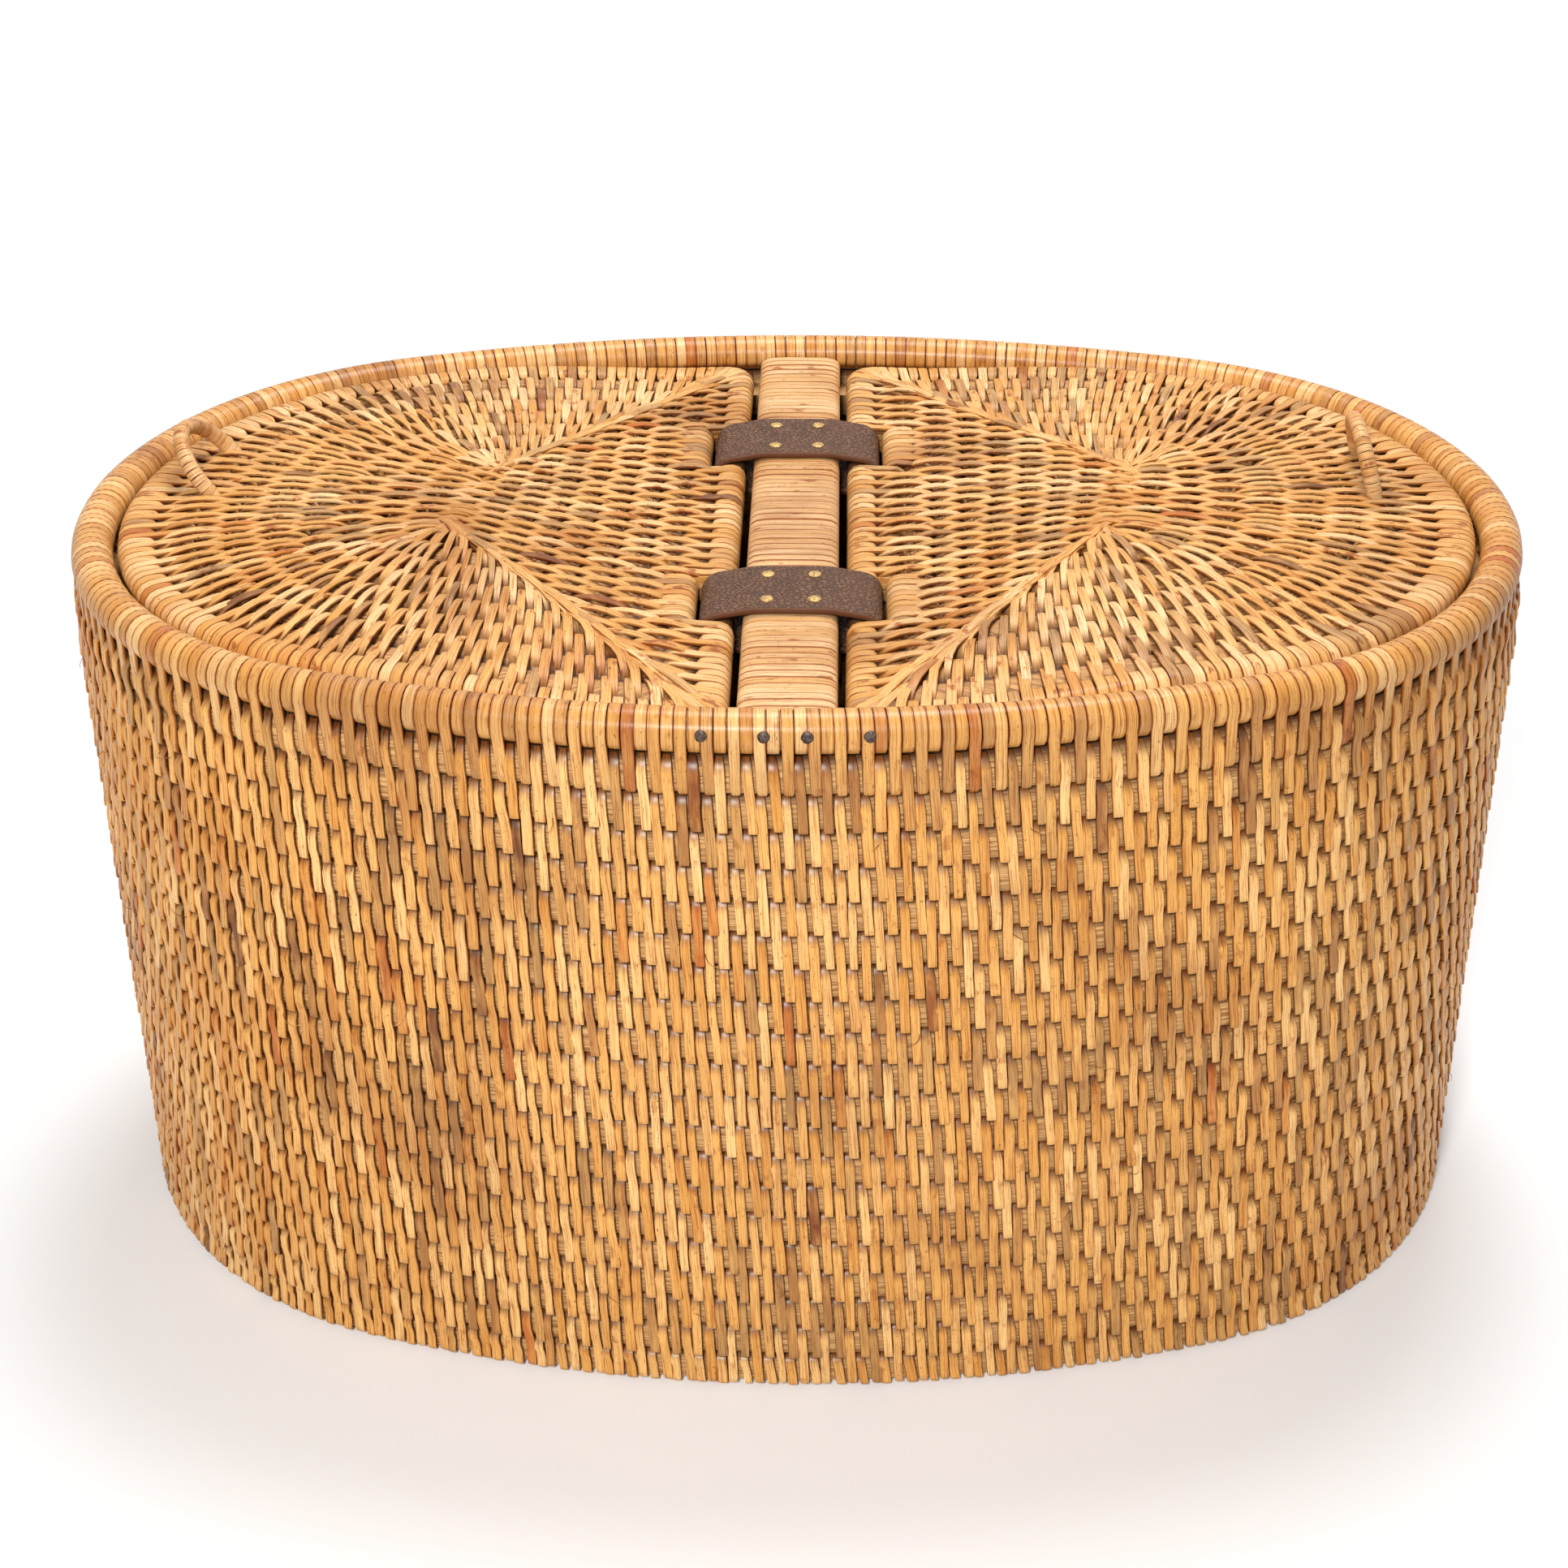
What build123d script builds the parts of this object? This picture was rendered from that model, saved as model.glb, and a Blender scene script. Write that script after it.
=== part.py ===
from build123d import *
import os
from math import acos, atan2, cos, degrees, radians, sin

# Lidded oval basket of coiled rattan. Two half lids turn on leather straps that loop
# over a crossbar and through a slot in each lid.
# Millimetres, +Z up, origin on the floor at the centre of the base, long axis along X.

# Overall sizes
LENGTH = 610.0               # over the rim
WIDTH = 384.0                # over the rim
HEIGHT = 325.0               # floor to the top of the rim
BASE_LENGTH = 608.0          # over the wall at the floor
BASE_WIDTH = 382.0
END_FULLNESS = 0.89          # end radius of the oval, as a share of its half width
CLEARANCE = 0.3              # between neighbouring pieces

# Wall, floor and rim
WALL_ROWS = 20
WALL_THICKNESS = 14.0
WALL_GROOVE = 1.8            # depth of the groove between two rows
FLOOR_THICKNESS = 12.0
RIM_RADIUS = 8.4
RIM_SIDES = 12               # flats round the wrapped rim pole
LEDGE_WIDTH = 14.0           # hoop inside the wall that the lids and the crossbar lie on
LEDGE_HEIGHT = 10.0

# Lids
LID_DROP = 9.5               # from the top of the rim down to the lids
LID_THICKNESS = 12.0
LID_GAP = 3.0                # between a lid and the rim
LID_ROWS = 9
LID_GROOVE = 1.6
LID_CORNER = 12.0            # radius of the two corners beside the crossbar
LID_END_FLAT = 1.0           # straight run in the middle of the outer end
SPINE_X = 136.0              # straight seam that the rows of a lid turn round
SPINE_LENGTH = 58.0
SPINE_SEAM = 0.01            # width of the seam, as a share of the lid's length
HINGE_ROD_RADIUS = 6.0

# Crossbar and its peel wrapping
BAR_WIDTH = 38.3
BAR_DROP = 7.0               # from the top of the rim down to the bar
BAR_THICKNESS = 14.5
BAR_EDGE_RADIUS = 4.5
BAR_WRAP = 1.2
BAR_WRAP_GAP = 0.1
BAR_END_GAP = 0.6            # square bar ends against the rim's curved inside
BAR_GAP = 2.85               # between the bar and a lid

# Leather straps
STRAP_WIDTH = 38.0
STRAP_THICKNESS = 2.8
STRAP_Y = 75.0               # centre of a strap, to either side of the middle
SLOT_SIDE_GAP = 1.2          # between a strap and the ends of its slot
SLOT_REACH = 13.0            # from the hinge axis to the far edge of the slot

# Tacks through the straps and nails through the rim, all with square shanks
TACK_HEAD_RADIUS = 2.7
TACK_HEAD_TAPER = 45.0       # degrees, from the head's edge up to its crown
TACK_HEAD_HEIGHT = 0.9
TACK_SHANK = 1.4
TACK_DEPTH = 9.0
TACK_SPACING_X = 19.0
TACK_SPACING_Y = 22.0
NAIL_HEAD_RADIUS = 2.3
NAIL_HEAD_HEIGHT = 0.8
NAIL_SHANK = 1.6
NAIL_INNER_X = 8.0           # these run through the rim into the crossbar's end
NAIL_INNER_LENGTH = 30.0
NAIL_OUTER_X = 31.0          # these only hold the rim's peel
NAIL_OUTER_LENGTH = 14.0
NAIL_TILT = 14.0             # degrees, driven down and inwards
HEAD_SIDES = 12              # facets round a hammered tack or nail head
FASTENER_FIT = 0.1           # round a shank or a head

# Lid handles: a bent rattan loop whose tails are let into the lid
HANDLE_X = 248.0
HANDLE_Y = 30.0
HANDLE_RADIUS = 3.4
HANDLE_SIDES = 8             # flats round the wrapped handle
HANDLE_SPREAD = 45.0         # between the two tails
HANDLE_LEG = 6.0             # straight part above the lid
HANDLE_TAIL = 9.0            # length let into the lid
LEFT_HANDLE_LEAN = 38.0      # degrees, away from the crossbar
RIGHT_HANDLE_LEAN = -15.0

os.makedirs("parts", exist_ok=True)

# Places that follow from the sizes above
RIM_LEVEL = HEIGHT - RIM_RADIUS
WALL_HEIGHT = HEIGHT - 2 * RIM_RADIUS - CLEARANCE
LID_TOP = HEIGHT - LID_DROP
LID_BOTTOM = LID_TOP - LID_THICKNESS
LEDGE_BOTTOM = LID_BOTTOM - CLEARANCE - LEDGE_HEIGHT
BAR_TOP = HEIGHT - BAR_DROP
BAR_LEVEL = BAR_TOP - BAR_THICKNESS / 2
BAR_LENGTH = WIDTH - 4 * RIM_RADIUS - 2 * BAR_END_GAP
LID_EDGE_X = BAR_WIDTH / 2 + BAR_GAP
LID_END_X = LENGTH / 2 - 2 * RIM_RADIUS - LID_GAP
LID_SIDE_Y = WIDTH / 2 - 2 * RIM_RADIUS - LID_GAP
HINGE_X = LID_EDGE_X + HINGE_ROD_RADIUS
HINGE_Z = LID_BOTTOM + LID_THICKNESS / 2
HINGE_ROD_LENGTH = 2 * LID_SIDE_Y - LID_CORNER
STRAP_TOP = BAR_TOP + CLEARANCE + STRAP_THICKNESS


def oval_radii(half_length, half_width):
    """Radii of a four-centre oval, with how far each arc's centre lies from the middle."""
    end_radius = END_FULLNESS * half_width
    end_x = half_length - end_radius
    side_radius = (end_x**2 + half_width**2 - end_radius**2) / (2 * (half_width - end_radius))
    return end_radius, end_x, side_radius, side_radius - half_width


def oval_arcs(half_length, half_width, inset=0.0):
    """Draw a four-centre oval, `inset` inside the given size, on the current line."""
    end_radius, end_x, side_radius, side_y = oval_radii(half_length, half_width)
    end_swing = degrees(atan2(side_y, end_x))
    side_swing = 180 - 2 * end_swing
    CenterArc((end_x, 0), end_radius - inset, -end_swing, 2 * end_swing)
    CenterArc((0, -side_y), side_radius - inset, end_swing, side_swing)
    CenterArc((-end_x, 0), end_radius - inset, 180 - end_swing, 2 * end_swing)
    CenterArc((0, side_y), side_radius - inset, 180 + end_swing, side_swing)


def oval_face(height, half_length, half_width, inset=0.0):
    """A level oval face."""
    with BuildSketch(Plane.XY.offset(height)) as face:
        with BuildLine():
            oval_arcs(half_length, half_width, inset)
        make_face()
    return face.sketch


def wall_size(height):
    """Half length and half width over the wall's rows at a height."""
    share = height / HEIGHT
    length = BASE_LENGTH + (LENGTH - BASE_LENGTH) * share
    width = BASE_WIDTH + (WIDTH - BASE_WIDTH) * share
    return length / 2, width / 2


def lid_outline(height, rows_in):
    """The right lid's D, `rows_in` coil rows in from its edge.

    Each row is the D of the edge shrunk towards the spine, with a straight run at the
    outer end that grows to the spine's length.
    """
    scale = 1 - rows_in / LID_ROWS
    rise = (LID_END_FLAT * scale + SPINE_LENGTH * (1 - scale)) / 2
    end_radius, end_x, side_radius, side_y = oval_radii(LID_END_X, LID_SIDE_Y - LID_END_FLAT / 2)
    end_swing = degrees(atan2(side_y, end_x))
    side_swing = degrees(acos(LID_EDGE_X / side_radius)) - end_swing
    end_centre = (SPINE_X + scale * (end_x - SPINE_X), rise)
    side_centre = (SPINE_X * (1 - scale), rise - scale * side_y)
    with BuildSketch(Plane.XY.offset(height)) as outline:
        with BuildLine():
            Line((end_centre[0] + scale * end_radius, 0), (end_centre[0] + scale * end_radius, rise))
            CenterArc(end_centre, scale * end_radius, 0, end_swing)
            side = CenterArc(side_centre, scale * side_radius, end_swing, side_swing)
            Line(side @ 1, ((side @ 1).X, 0))
            mirror(about=Plane.XZ)
        make_face()
        fillet(outline.vertices().group_by(Axis.X)[0], scale * LID_CORNER)
    return outline.sketch


def save(part, name):
    """Label a finished piece and write it."""
    part.label = name
    export_step(part, f"parts/{name}.step")


# Floor: an oval coil mat inside the foot of the wall
with BuildPart() as base_panel:
    extrude(oval_face(0, BASE_LENGTH / 2, BASE_WIDTH / 2, WALL_THICKNESS + CLEARANCE), FLOOR_THICKNESS)
save(base_panel.part, "base_panel")

# Wall: coil rows stacked as beads, bored out to one open shell
with BuildPart() as wall_coil:
    row_sections = []
    for level in range(2 * WALL_ROWS + 1):
        groove = WALL_GROOVE if level % 2 == 0 else 0.0
        height = level * WALL_HEIGHT / WALL_ROWS / 2
        row_sections.append(oval_face(height, *wall_size(height), groove))
    loft(row_sections, ruled=True)
    bore_sections = [oval_face(z, *wall_size(z), WALL_THICKNESS) for z in (0, WALL_HEIGHT)]
    loft(bore_sections, ruled=True, mode=Mode.SUBTRACT)
save(wall_coil.part, "wall_coil")

# Ledge hoop under the rim, inside the wall
with BuildPart() as lid_ledge:
    ledge_size = wall_size(LEDGE_BOTTOM)
    ledge_inset = WALL_THICKNESS + CLEARANCE
    extrude(oval_face(LEDGE_BOTTOM, *ledge_size, ledge_inset), LEDGE_HEIGHT)
    ledge_bore = oval_face(LEDGE_BOTTOM, *ledge_size, ledge_inset + LEDGE_WIDTH)
    extrude(ledge_bore, LEDGE_HEIGHT, mode=Mode.SUBTRACT)
save(lid_ledge.part, "lid_ledge")

# Nail places on the front and rear of the rim: across, along the nail, and its length
NAILS = [
    (across, length)
    for x, length in ((NAIL_INNER_X, NAIL_INNER_LENGTH), (NAIL_OUTER_X, NAIL_OUTER_LENGTH))
    for across, length in ((-x, length), (x, length))
]


def nail_tools(side, fit):
    """The rim nails of one side, grown by `fit`; side is -1 at the front, 1 at the rear."""
    tilt = radians(NAIL_TILT)
    seat_y = side * (WIDTH / 2 - NAIL_HEAD_HEIGHT)
    head_seat = Plane((0, seat_y, RIM_LEVEL), x_dir=(1, 0, 0), z_dir=(0, side * cos(tilt), sin(tilt)))
    with BuildPart() as nails:
        for across, length in NAILS:
            with BuildSketch(head_seat):
                with Locations((across, 0)):
                    RegularPolygon(NAIL_HEAD_RADIUS + fit, HEAD_SIDES)
            extrude(amount=NAIL_HEAD_HEIGHT)
            with BuildSketch(head_seat):
                with Locations((across, 0)):
                    Rectangle(NAIL_SHANK + 2 * fit, NAIL_SHANK + 2 * fit)
            extrude(amount=-length - fit)
    return nails.part


# Rim: a round pole bent to the oval, on top of the wall
with BuildPart() as rim_pole:
    with BuildLine(Plane.XY.offset(RIM_LEVEL)) as rim_line:
        oval_arcs(LENGTH / 2, WIDTH / 2, RIM_RADIUS)
    with BuildSketch(Plane(rim_line.line @ 0, z_dir=rim_line.line % 0)):
        RegularPolygon(RIM_RADIUS, RIM_SIDES)
    sweep(path=rim_line.line)
    add(nail_tools(-1, FASTENER_FIT), mode=Mode.SUBTRACT)
    add(nail_tools(1, FASTENER_FIT), mode=Mode.SUBTRACT)
save(rim_pole.part, "rim_pole")
save(nail_tools(-1, 0.0), "rim_nails_front")
save(nail_tools(1, 0.0), "rim_nails_rear")


def tack_shanks(strap_y, fit):
    """The four tack shanks of one strap, grown by `fit`."""
    with BuildPart() as shanks:
        with BuildSketch(Plane.XY.offset(STRAP_TOP)):
            with Locations((0, strap_y)):
                with GridLocations(TACK_SPACING_X, TACK_SPACING_Y, 2, 2):
                    Rectangle(TACK_SHANK + 2 * fit, TACK_SHANK + 2 * fit)
        extrude(amount=-TACK_DEPTH - fit)
    return shanks.part


# Crossbar: a flat slat from rim to rim, lying on the ledge and wrapped in peel
BAR_START = Plane.XZ.offset(-BAR_LENGTH / 2)
BAR_CORE_INSET = BAR_WRAP + BAR_WRAP_GAP

with BuildPart() as crossbar_core:
    with BuildSketch(BAR_START):
        with Locations((0, BAR_LEVEL)):
            core_width = BAR_WIDTH - 2 * BAR_CORE_INSET
            core_thickness = BAR_THICKNESS - 2 * BAR_CORE_INSET
            RectangleRounded(core_width, core_thickness, BAR_EDGE_RADIUS - BAR_CORE_INSET)
    extrude(amount=BAR_LENGTH)
    for side in (-1, 1):
        add(tack_shanks(side * STRAP_Y, FASTENER_FIT), mode=Mode.SUBTRACT)
        add(nail_tools(side, FASTENER_FIT), mode=Mode.SUBTRACT)
save(crossbar_core.part, "crossbar_core")

with BuildPart() as crossbar_wrap:
    with BuildSketch(BAR_START):
        with Locations((0, BAR_LEVEL)):
            RectangleRounded(BAR_WIDTH, BAR_THICKNESS, BAR_EDGE_RADIUS)
            wrap_bore = BAR_WIDTH - 2 * BAR_WRAP, BAR_THICKNESS - 2 * BAR_WRAP
            RectangleRounded(*wrap_bore, BAR_EDGE_RADIUS - BAR_WRAP, mode=Mode.SUBTRACT)
    extrude(amount=BAR_LENGTH)
    for side in (-1, 1):
        add(tack_shanks(side * STRAP_Y, FASTENER_FIT), mode=Mode.SUBTRACT)
save(crossbar_wrap.part, "crossbar_wrap")


def strap_inside():
    """The space a strap is pulled round: the bar's top edges and both lids' hinge rods."""
    bar_edge_x = BAR_WIDTH / 2 - BAR_EDGE_RADIUS
    bar_edge_z = BAR_TOP - BAR_EDGE_RADIUS
    with BuildSketch(Plane.XZ) as inside:
        with Locations((-HINGE_X, HINGE_Z), (HINGE_X, HINGE_Z)):
            Circle(HINGE_ROD_RADIUS + CLEARANCE)
        with Locations((-bar_edge_x, bar_edge_z), (bar_edge_x, bar_edge_z)):
            Circle(BAR_EDGE_RADIUS + CLEARANCE)
        make_hull()
    return inside.sketch


# Straps: closed leather loops held by four tacks each
for place, side in (("front", -1), ("rear", 1)):
    strap_y = side * STRAP_Y
    with BuildPart() as strap:
        with BuildSketch(Plane.XZ.offset(-strap_y)):
            add(strap_inside())
            offset(amount=STRAP_THICKNESS)
            add(strap_inside(), mode=Mode.SUBTRACT)
        extrude(amount=STRAP_WIDTH / 2, both=True)
        add(tack_shanks(strap_y, FASTENER_FIT), mode=Mode.SUBTRACT)
    save(strap.part, f"strap_{place}")

    with BuildPart() as strap_tacks:
        add(tack_shanks(strap_y, 0.0))
        with BuildSketch(Plane.XY.offset(STRAP_TOP)):
            with Locations((0, strap_y)):
                with GridLocations(TACK_SPACING_X, TACK_SPACING_Y, 2, 2):
                    RegularPolygon(TACK_HEAD_RADIUS, HEAD_SIDES)
        extrude(amount=TACK_HEAD_HEIGHT, taper=TACK_HEAD_TAPER)
    save(strap_tacks.part, f"strap_tacks_{place}")


def handle_plane(lean):
    """The plane a handle's loop is bent in, from the middle between its tails; +Y up the loop."""
    tilt = radians(lean)
    return Plane((HANDLE_X, HANDLE_Y, LID_TOP), x_dir=(0, 1, 0), z_dir=(cos(tilt), 0, -sin(tilt)))


def handle_loop(lean, radius, tail):
    """A round rod bent to a loop: two legs and a half circle, with straight tails."""
    half = HANDLE_SPREAD / 2
    with BuildPart() as loop:
        with BuildLine(handle_plane(lean)) as path:
            Line((-half, -tail), (-half, HANDLE_LEG))
            CenterArc((0, HANDLE_LEG), half, 180, -180)
            Line((half, HANDLE_LEG), (half, -tail))
        with BuildSketch(Plane(path.line @ 0, z_dir=path.line % 0)):
            RegularPolygon(radius, HANDLE_SIDES)
        sweep(path=path.line)
    return loop.part


# Lids, drawn on the right and mirrored to the left; only the handles lean differently
for place, lean in (("right", RIGHT_HANDLE_LEAN), ("left", LEFT_HANDLE_LEAN)):
    with BuildPart() as panel:
        extrude(lid_outline(LID_BOTTOM, 0), LID_THICKNESS - LID_GROOVE)
        groove_level = LID_TOP - LID_GROOVE
        for row in range(LID_ROWS):
            inner = min(row + 1, LID_ROWS * (1 - SPINE_SEAM))
            ridge = lid_outline(LID_TOP, row + 0.5)
            loft([lid_outline(groove_level, row), ridge], ruled=True)
            loft([lid_outline(groove_level, inner), ridge], ruled=True, mode=Mode.SUBTRACT)
        # The hinge rod takes the place of the straight edge; the straps pass through two slots
        with Locations((LID_EDGE_X, 0, HINGE_Z)):
            Box(4 * HINGE_ROD_RADIUS + 2 * CLEARANCE, WIDTH, 2 * LID_THICKNESS, mode=Mode.SUBTRACT)
        with Locations((HINGE_X, -STRAP_Y, HINGE_Z), (HINGE_X, STRAP_Y, HINGE_Z)):
            Box(2 * SLOT_REACH, STRAP_WIDTH + 2 * SLOT_SIDE_GAP, 2 * LID_THICKNESS, mode=Mode.SUBTRACT)
        add(handle_loop(lean, HANDLE_RADIUS + CLEARANCE, HANDLE_TAIL + CLEARANCE), mode=Mode.SUBTRACT)

    with BuildPart() as hinge_rod:
        with BuildSketch(Plane.XZ.offset(-HINGE_ROD_LENGTH / 2)):
            with Locations((HINGE_X, HINGE_Z)):
                Circle(HINGE_ROD_RADIUS)
        extrude(amount=HINGE_ROD_LENGTH)

    lid_pieces = {
        "panel": panel.part,
        "hinge_rod": hinge_rod.part,
        "handle": handle_loop(lean, HANDLE_RADIUS, HANDLE_TAIL),
    }
    for piece_name, piece in lid_pieces.items():
        if place == "left":
            piece = mirror(piece, about=Plane.YZ)
        save(piece, f"lid_{place}_{piece_name}")
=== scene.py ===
import math

import bpy
import numpy as np
from mathutils import Matrix, Vector


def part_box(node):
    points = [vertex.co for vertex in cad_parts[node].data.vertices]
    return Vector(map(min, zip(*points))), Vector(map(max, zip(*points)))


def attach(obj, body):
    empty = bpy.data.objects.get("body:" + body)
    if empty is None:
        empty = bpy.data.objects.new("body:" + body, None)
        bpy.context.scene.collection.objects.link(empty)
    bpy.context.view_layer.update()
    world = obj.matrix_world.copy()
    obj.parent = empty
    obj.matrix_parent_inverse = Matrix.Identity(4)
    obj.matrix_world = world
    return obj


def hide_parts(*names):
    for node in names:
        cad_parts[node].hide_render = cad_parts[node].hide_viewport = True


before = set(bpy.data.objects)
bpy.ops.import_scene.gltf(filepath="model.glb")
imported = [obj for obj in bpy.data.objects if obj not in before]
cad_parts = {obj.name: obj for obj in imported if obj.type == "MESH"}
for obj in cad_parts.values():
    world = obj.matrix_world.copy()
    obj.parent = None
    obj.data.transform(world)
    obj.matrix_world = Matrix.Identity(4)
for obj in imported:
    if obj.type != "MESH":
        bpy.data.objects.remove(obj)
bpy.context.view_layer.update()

# A lidded oval basket of coiled rattan: core rows with stitches of peel laid over them,
# a wrapped rim, crossbar and handles, leather strap hinges, brass tacks and rim nails.

MM = 0.001
FRONT, REAR = -1, 1

# ---- sizes from the frame

rim_low, rim_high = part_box("rim_pole")
wall_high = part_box("wall_coil")[1]
floor_low, floor_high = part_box("base_panel")
bar_low, bar_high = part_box("crossbar_wrap")
lid_low, lid_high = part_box("lid_right_panel")
rod_low, rod_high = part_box("lid_right_hinge_rod")

HALF_LENGTH = rim_high.x
HALF_WIDTH = wall_high.y
RIM_RADIUS = (rim_high.z - rim_low.z) / 2
RIM_LEVEL = (rim_high.z + rim_low.z) / 2
WALL_TOP = wall_high.z
LID_TOP = lid_high.z
LID_MIDDLE = (lid_high.z + lid_low.z) / 2
LID_EDGE_X = rod_low.x
LID_END_X = lid_high.x
LID_SIDE_Y = lid_high.y
HINGE_X = (rod_high.x + rod_low.x) / 2
STRAP_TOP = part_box("strap_front")[1].z

# ---- weaving sizes

END_FULLNESS = 0.89          # end radius of the oval, as a share of its half width
WALL_ROWS = 20
WALL_THICKNESS = 14 * MM
COLUMNS = 164                # stitches round one row of the wall
PEEL = 1.1 * MM              # thickness of a strip of peel
WALL_PEEL_WIDTH = 4.2 * MM   # of a strip of peel where it is widest
LID_PEEL_WIDTH = 4.5 * MM
RIM_PEEL_WIDTH = 5.0 * MM
EDGE_PEEL_WIDTH = 5.2 * MM
NOTCH_PEEL_WIDTH = 4.8 * MM
LID_ROWS = 9
SPINE_X = 136 * MM           # the seam that a lid's rows turn round
SPINE_HALF = 29.2 * MM
STRAP_Y = 75 * MM
NOTCH_HALF = 20.2 * MM       # half width of the notch that a strap passes through
NOTCH_X = 38.4 * MM          # how far a notch reaches in from the crossbar's middle
LID_PITCH = 9.75 * MM        # between two stitches of one row of a lid or of the floor
CROWDED = 0.62               # share of the pitch under which a stitch is left out


# ---- mesh helpers

def unit(vectors):
    return vectors / np.maximum(np.linalg.norm(vectors, axis=-1, keepdims=True), 1e-12)


def lying(path, up):
    """Across and outward directions of strips that lie on a level face."""
    heading = unit(np.gradient(path, axis=-2))
    side = unit(np.cross(up, heading))
    return side, unit(np.cross(heading, side))


def deselect():
    """Leave edit mode and select nothing."""
    if bpy.context.mode != "OBJECT":
        bpy.ops.object.mode_set(mode="OBJECT")
    bpy.ops.object.select_all(action="DESELECT")


def named(name):
    """Name the piece that was just added."""
    piece = bpy.context.active_object
    piece.name = name
    piece.data.name = name
    return piece


def settle(piece):
    """Put a piece's place into its mesh."""
    piece.data.transform(piece.matrix_world)
    piece.matrix_world = Matrix.Identity(4)


def mesh_piece(name, points, faces):
    """A smooth piece made from worked-out points and faces."""
    mesh = bpy.data.meshes.new(name)
    mesh.from_pydata([tuple(p) for p in points], [], faces)
    mesh.update()
    piece = bpy.data.objects.new(name, mesh)
    bpy.context.scene.collection.objects.link(piece)
    mesh.polygons.foreach_set("use_smooth", [True] * len(mesh.polygons))
    return piece


def corners_of(piece):
    return np.array([v.co for v in piece.data.vertices])


def activate(piece):
    """Select one piece and make it the active one."""
    deselect()
    bpy.context.view_layer.objects.active = piece
    piece.select_set(True)


def recalculate(piece):
    """Turn every face outwards."""
    activate(piece)
    bpy.ops.object.mode_set(mode="EDIT")
    bpy.ops.mesh.select_all(action="SELECT")
    bpy.ops.mesh.normals_make_consistent(inside=False)
    bpy.ops.object.mode_set(mode="OBJECT")
    deselect()


def reshape(piece, place, grain):
    """Move the points of a primitive to their places, and smooth it."""
    piece.data.vertices.foreach_set("co", place.astype(np.float32).ravel())
    give_grain(piece, grain)
    piece.data.update()
    recalculate(piece)
    activate(piece)
    bpy.ops.object.shade_smooth()
    deselect()
    return piece


def torus(turns, around):
    """A torus to reshape, with each point's share of the way round and its index in the section."""
    deselect()
    bpy.ops.mesh.primitive_torus_add(
        major_segments=turns, minor_segments=around, major_radius=2, minor_radius=0.5
    )
    piece = bpy.context.active_object
    raw = corners_of(piece)
    share = (np.arctan2(raw[:, 1], raw[:, 0]) / (2 * math.pi)) % 1.0
    tilt = np.arctan2(raw[:, 2], np.hypot(raw[:, 0], raw[:, 1]) - 2) / (2 * math.pi)
    return piece, share, np.round((tilt % 1.0) * around).astype(int) % around


def travelled(points):
    """The distance along a line, at each of its points."""
    return np.concatenate([[0], np.cumsum(np.linalg.norm(np.diff(points, axis=0), axis=1))])


def resampled(points, reach):
    """The points at some distances along a line."""
    travel = travelled(points)
    return np.stack([np.interp(reach, travel, column) for column in points.T], axis=1)


def give_grain(piece, grain):
    """Store (across, along, tone) at each point, for the materials to follow the strip."""
    attribute = piece.data.attributes.new("grain", "FLOAT_VECTOR", "POINT")
    attribute.data.foreach_set("vector", np.asarray(grain, np.float32).ravel())


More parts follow.
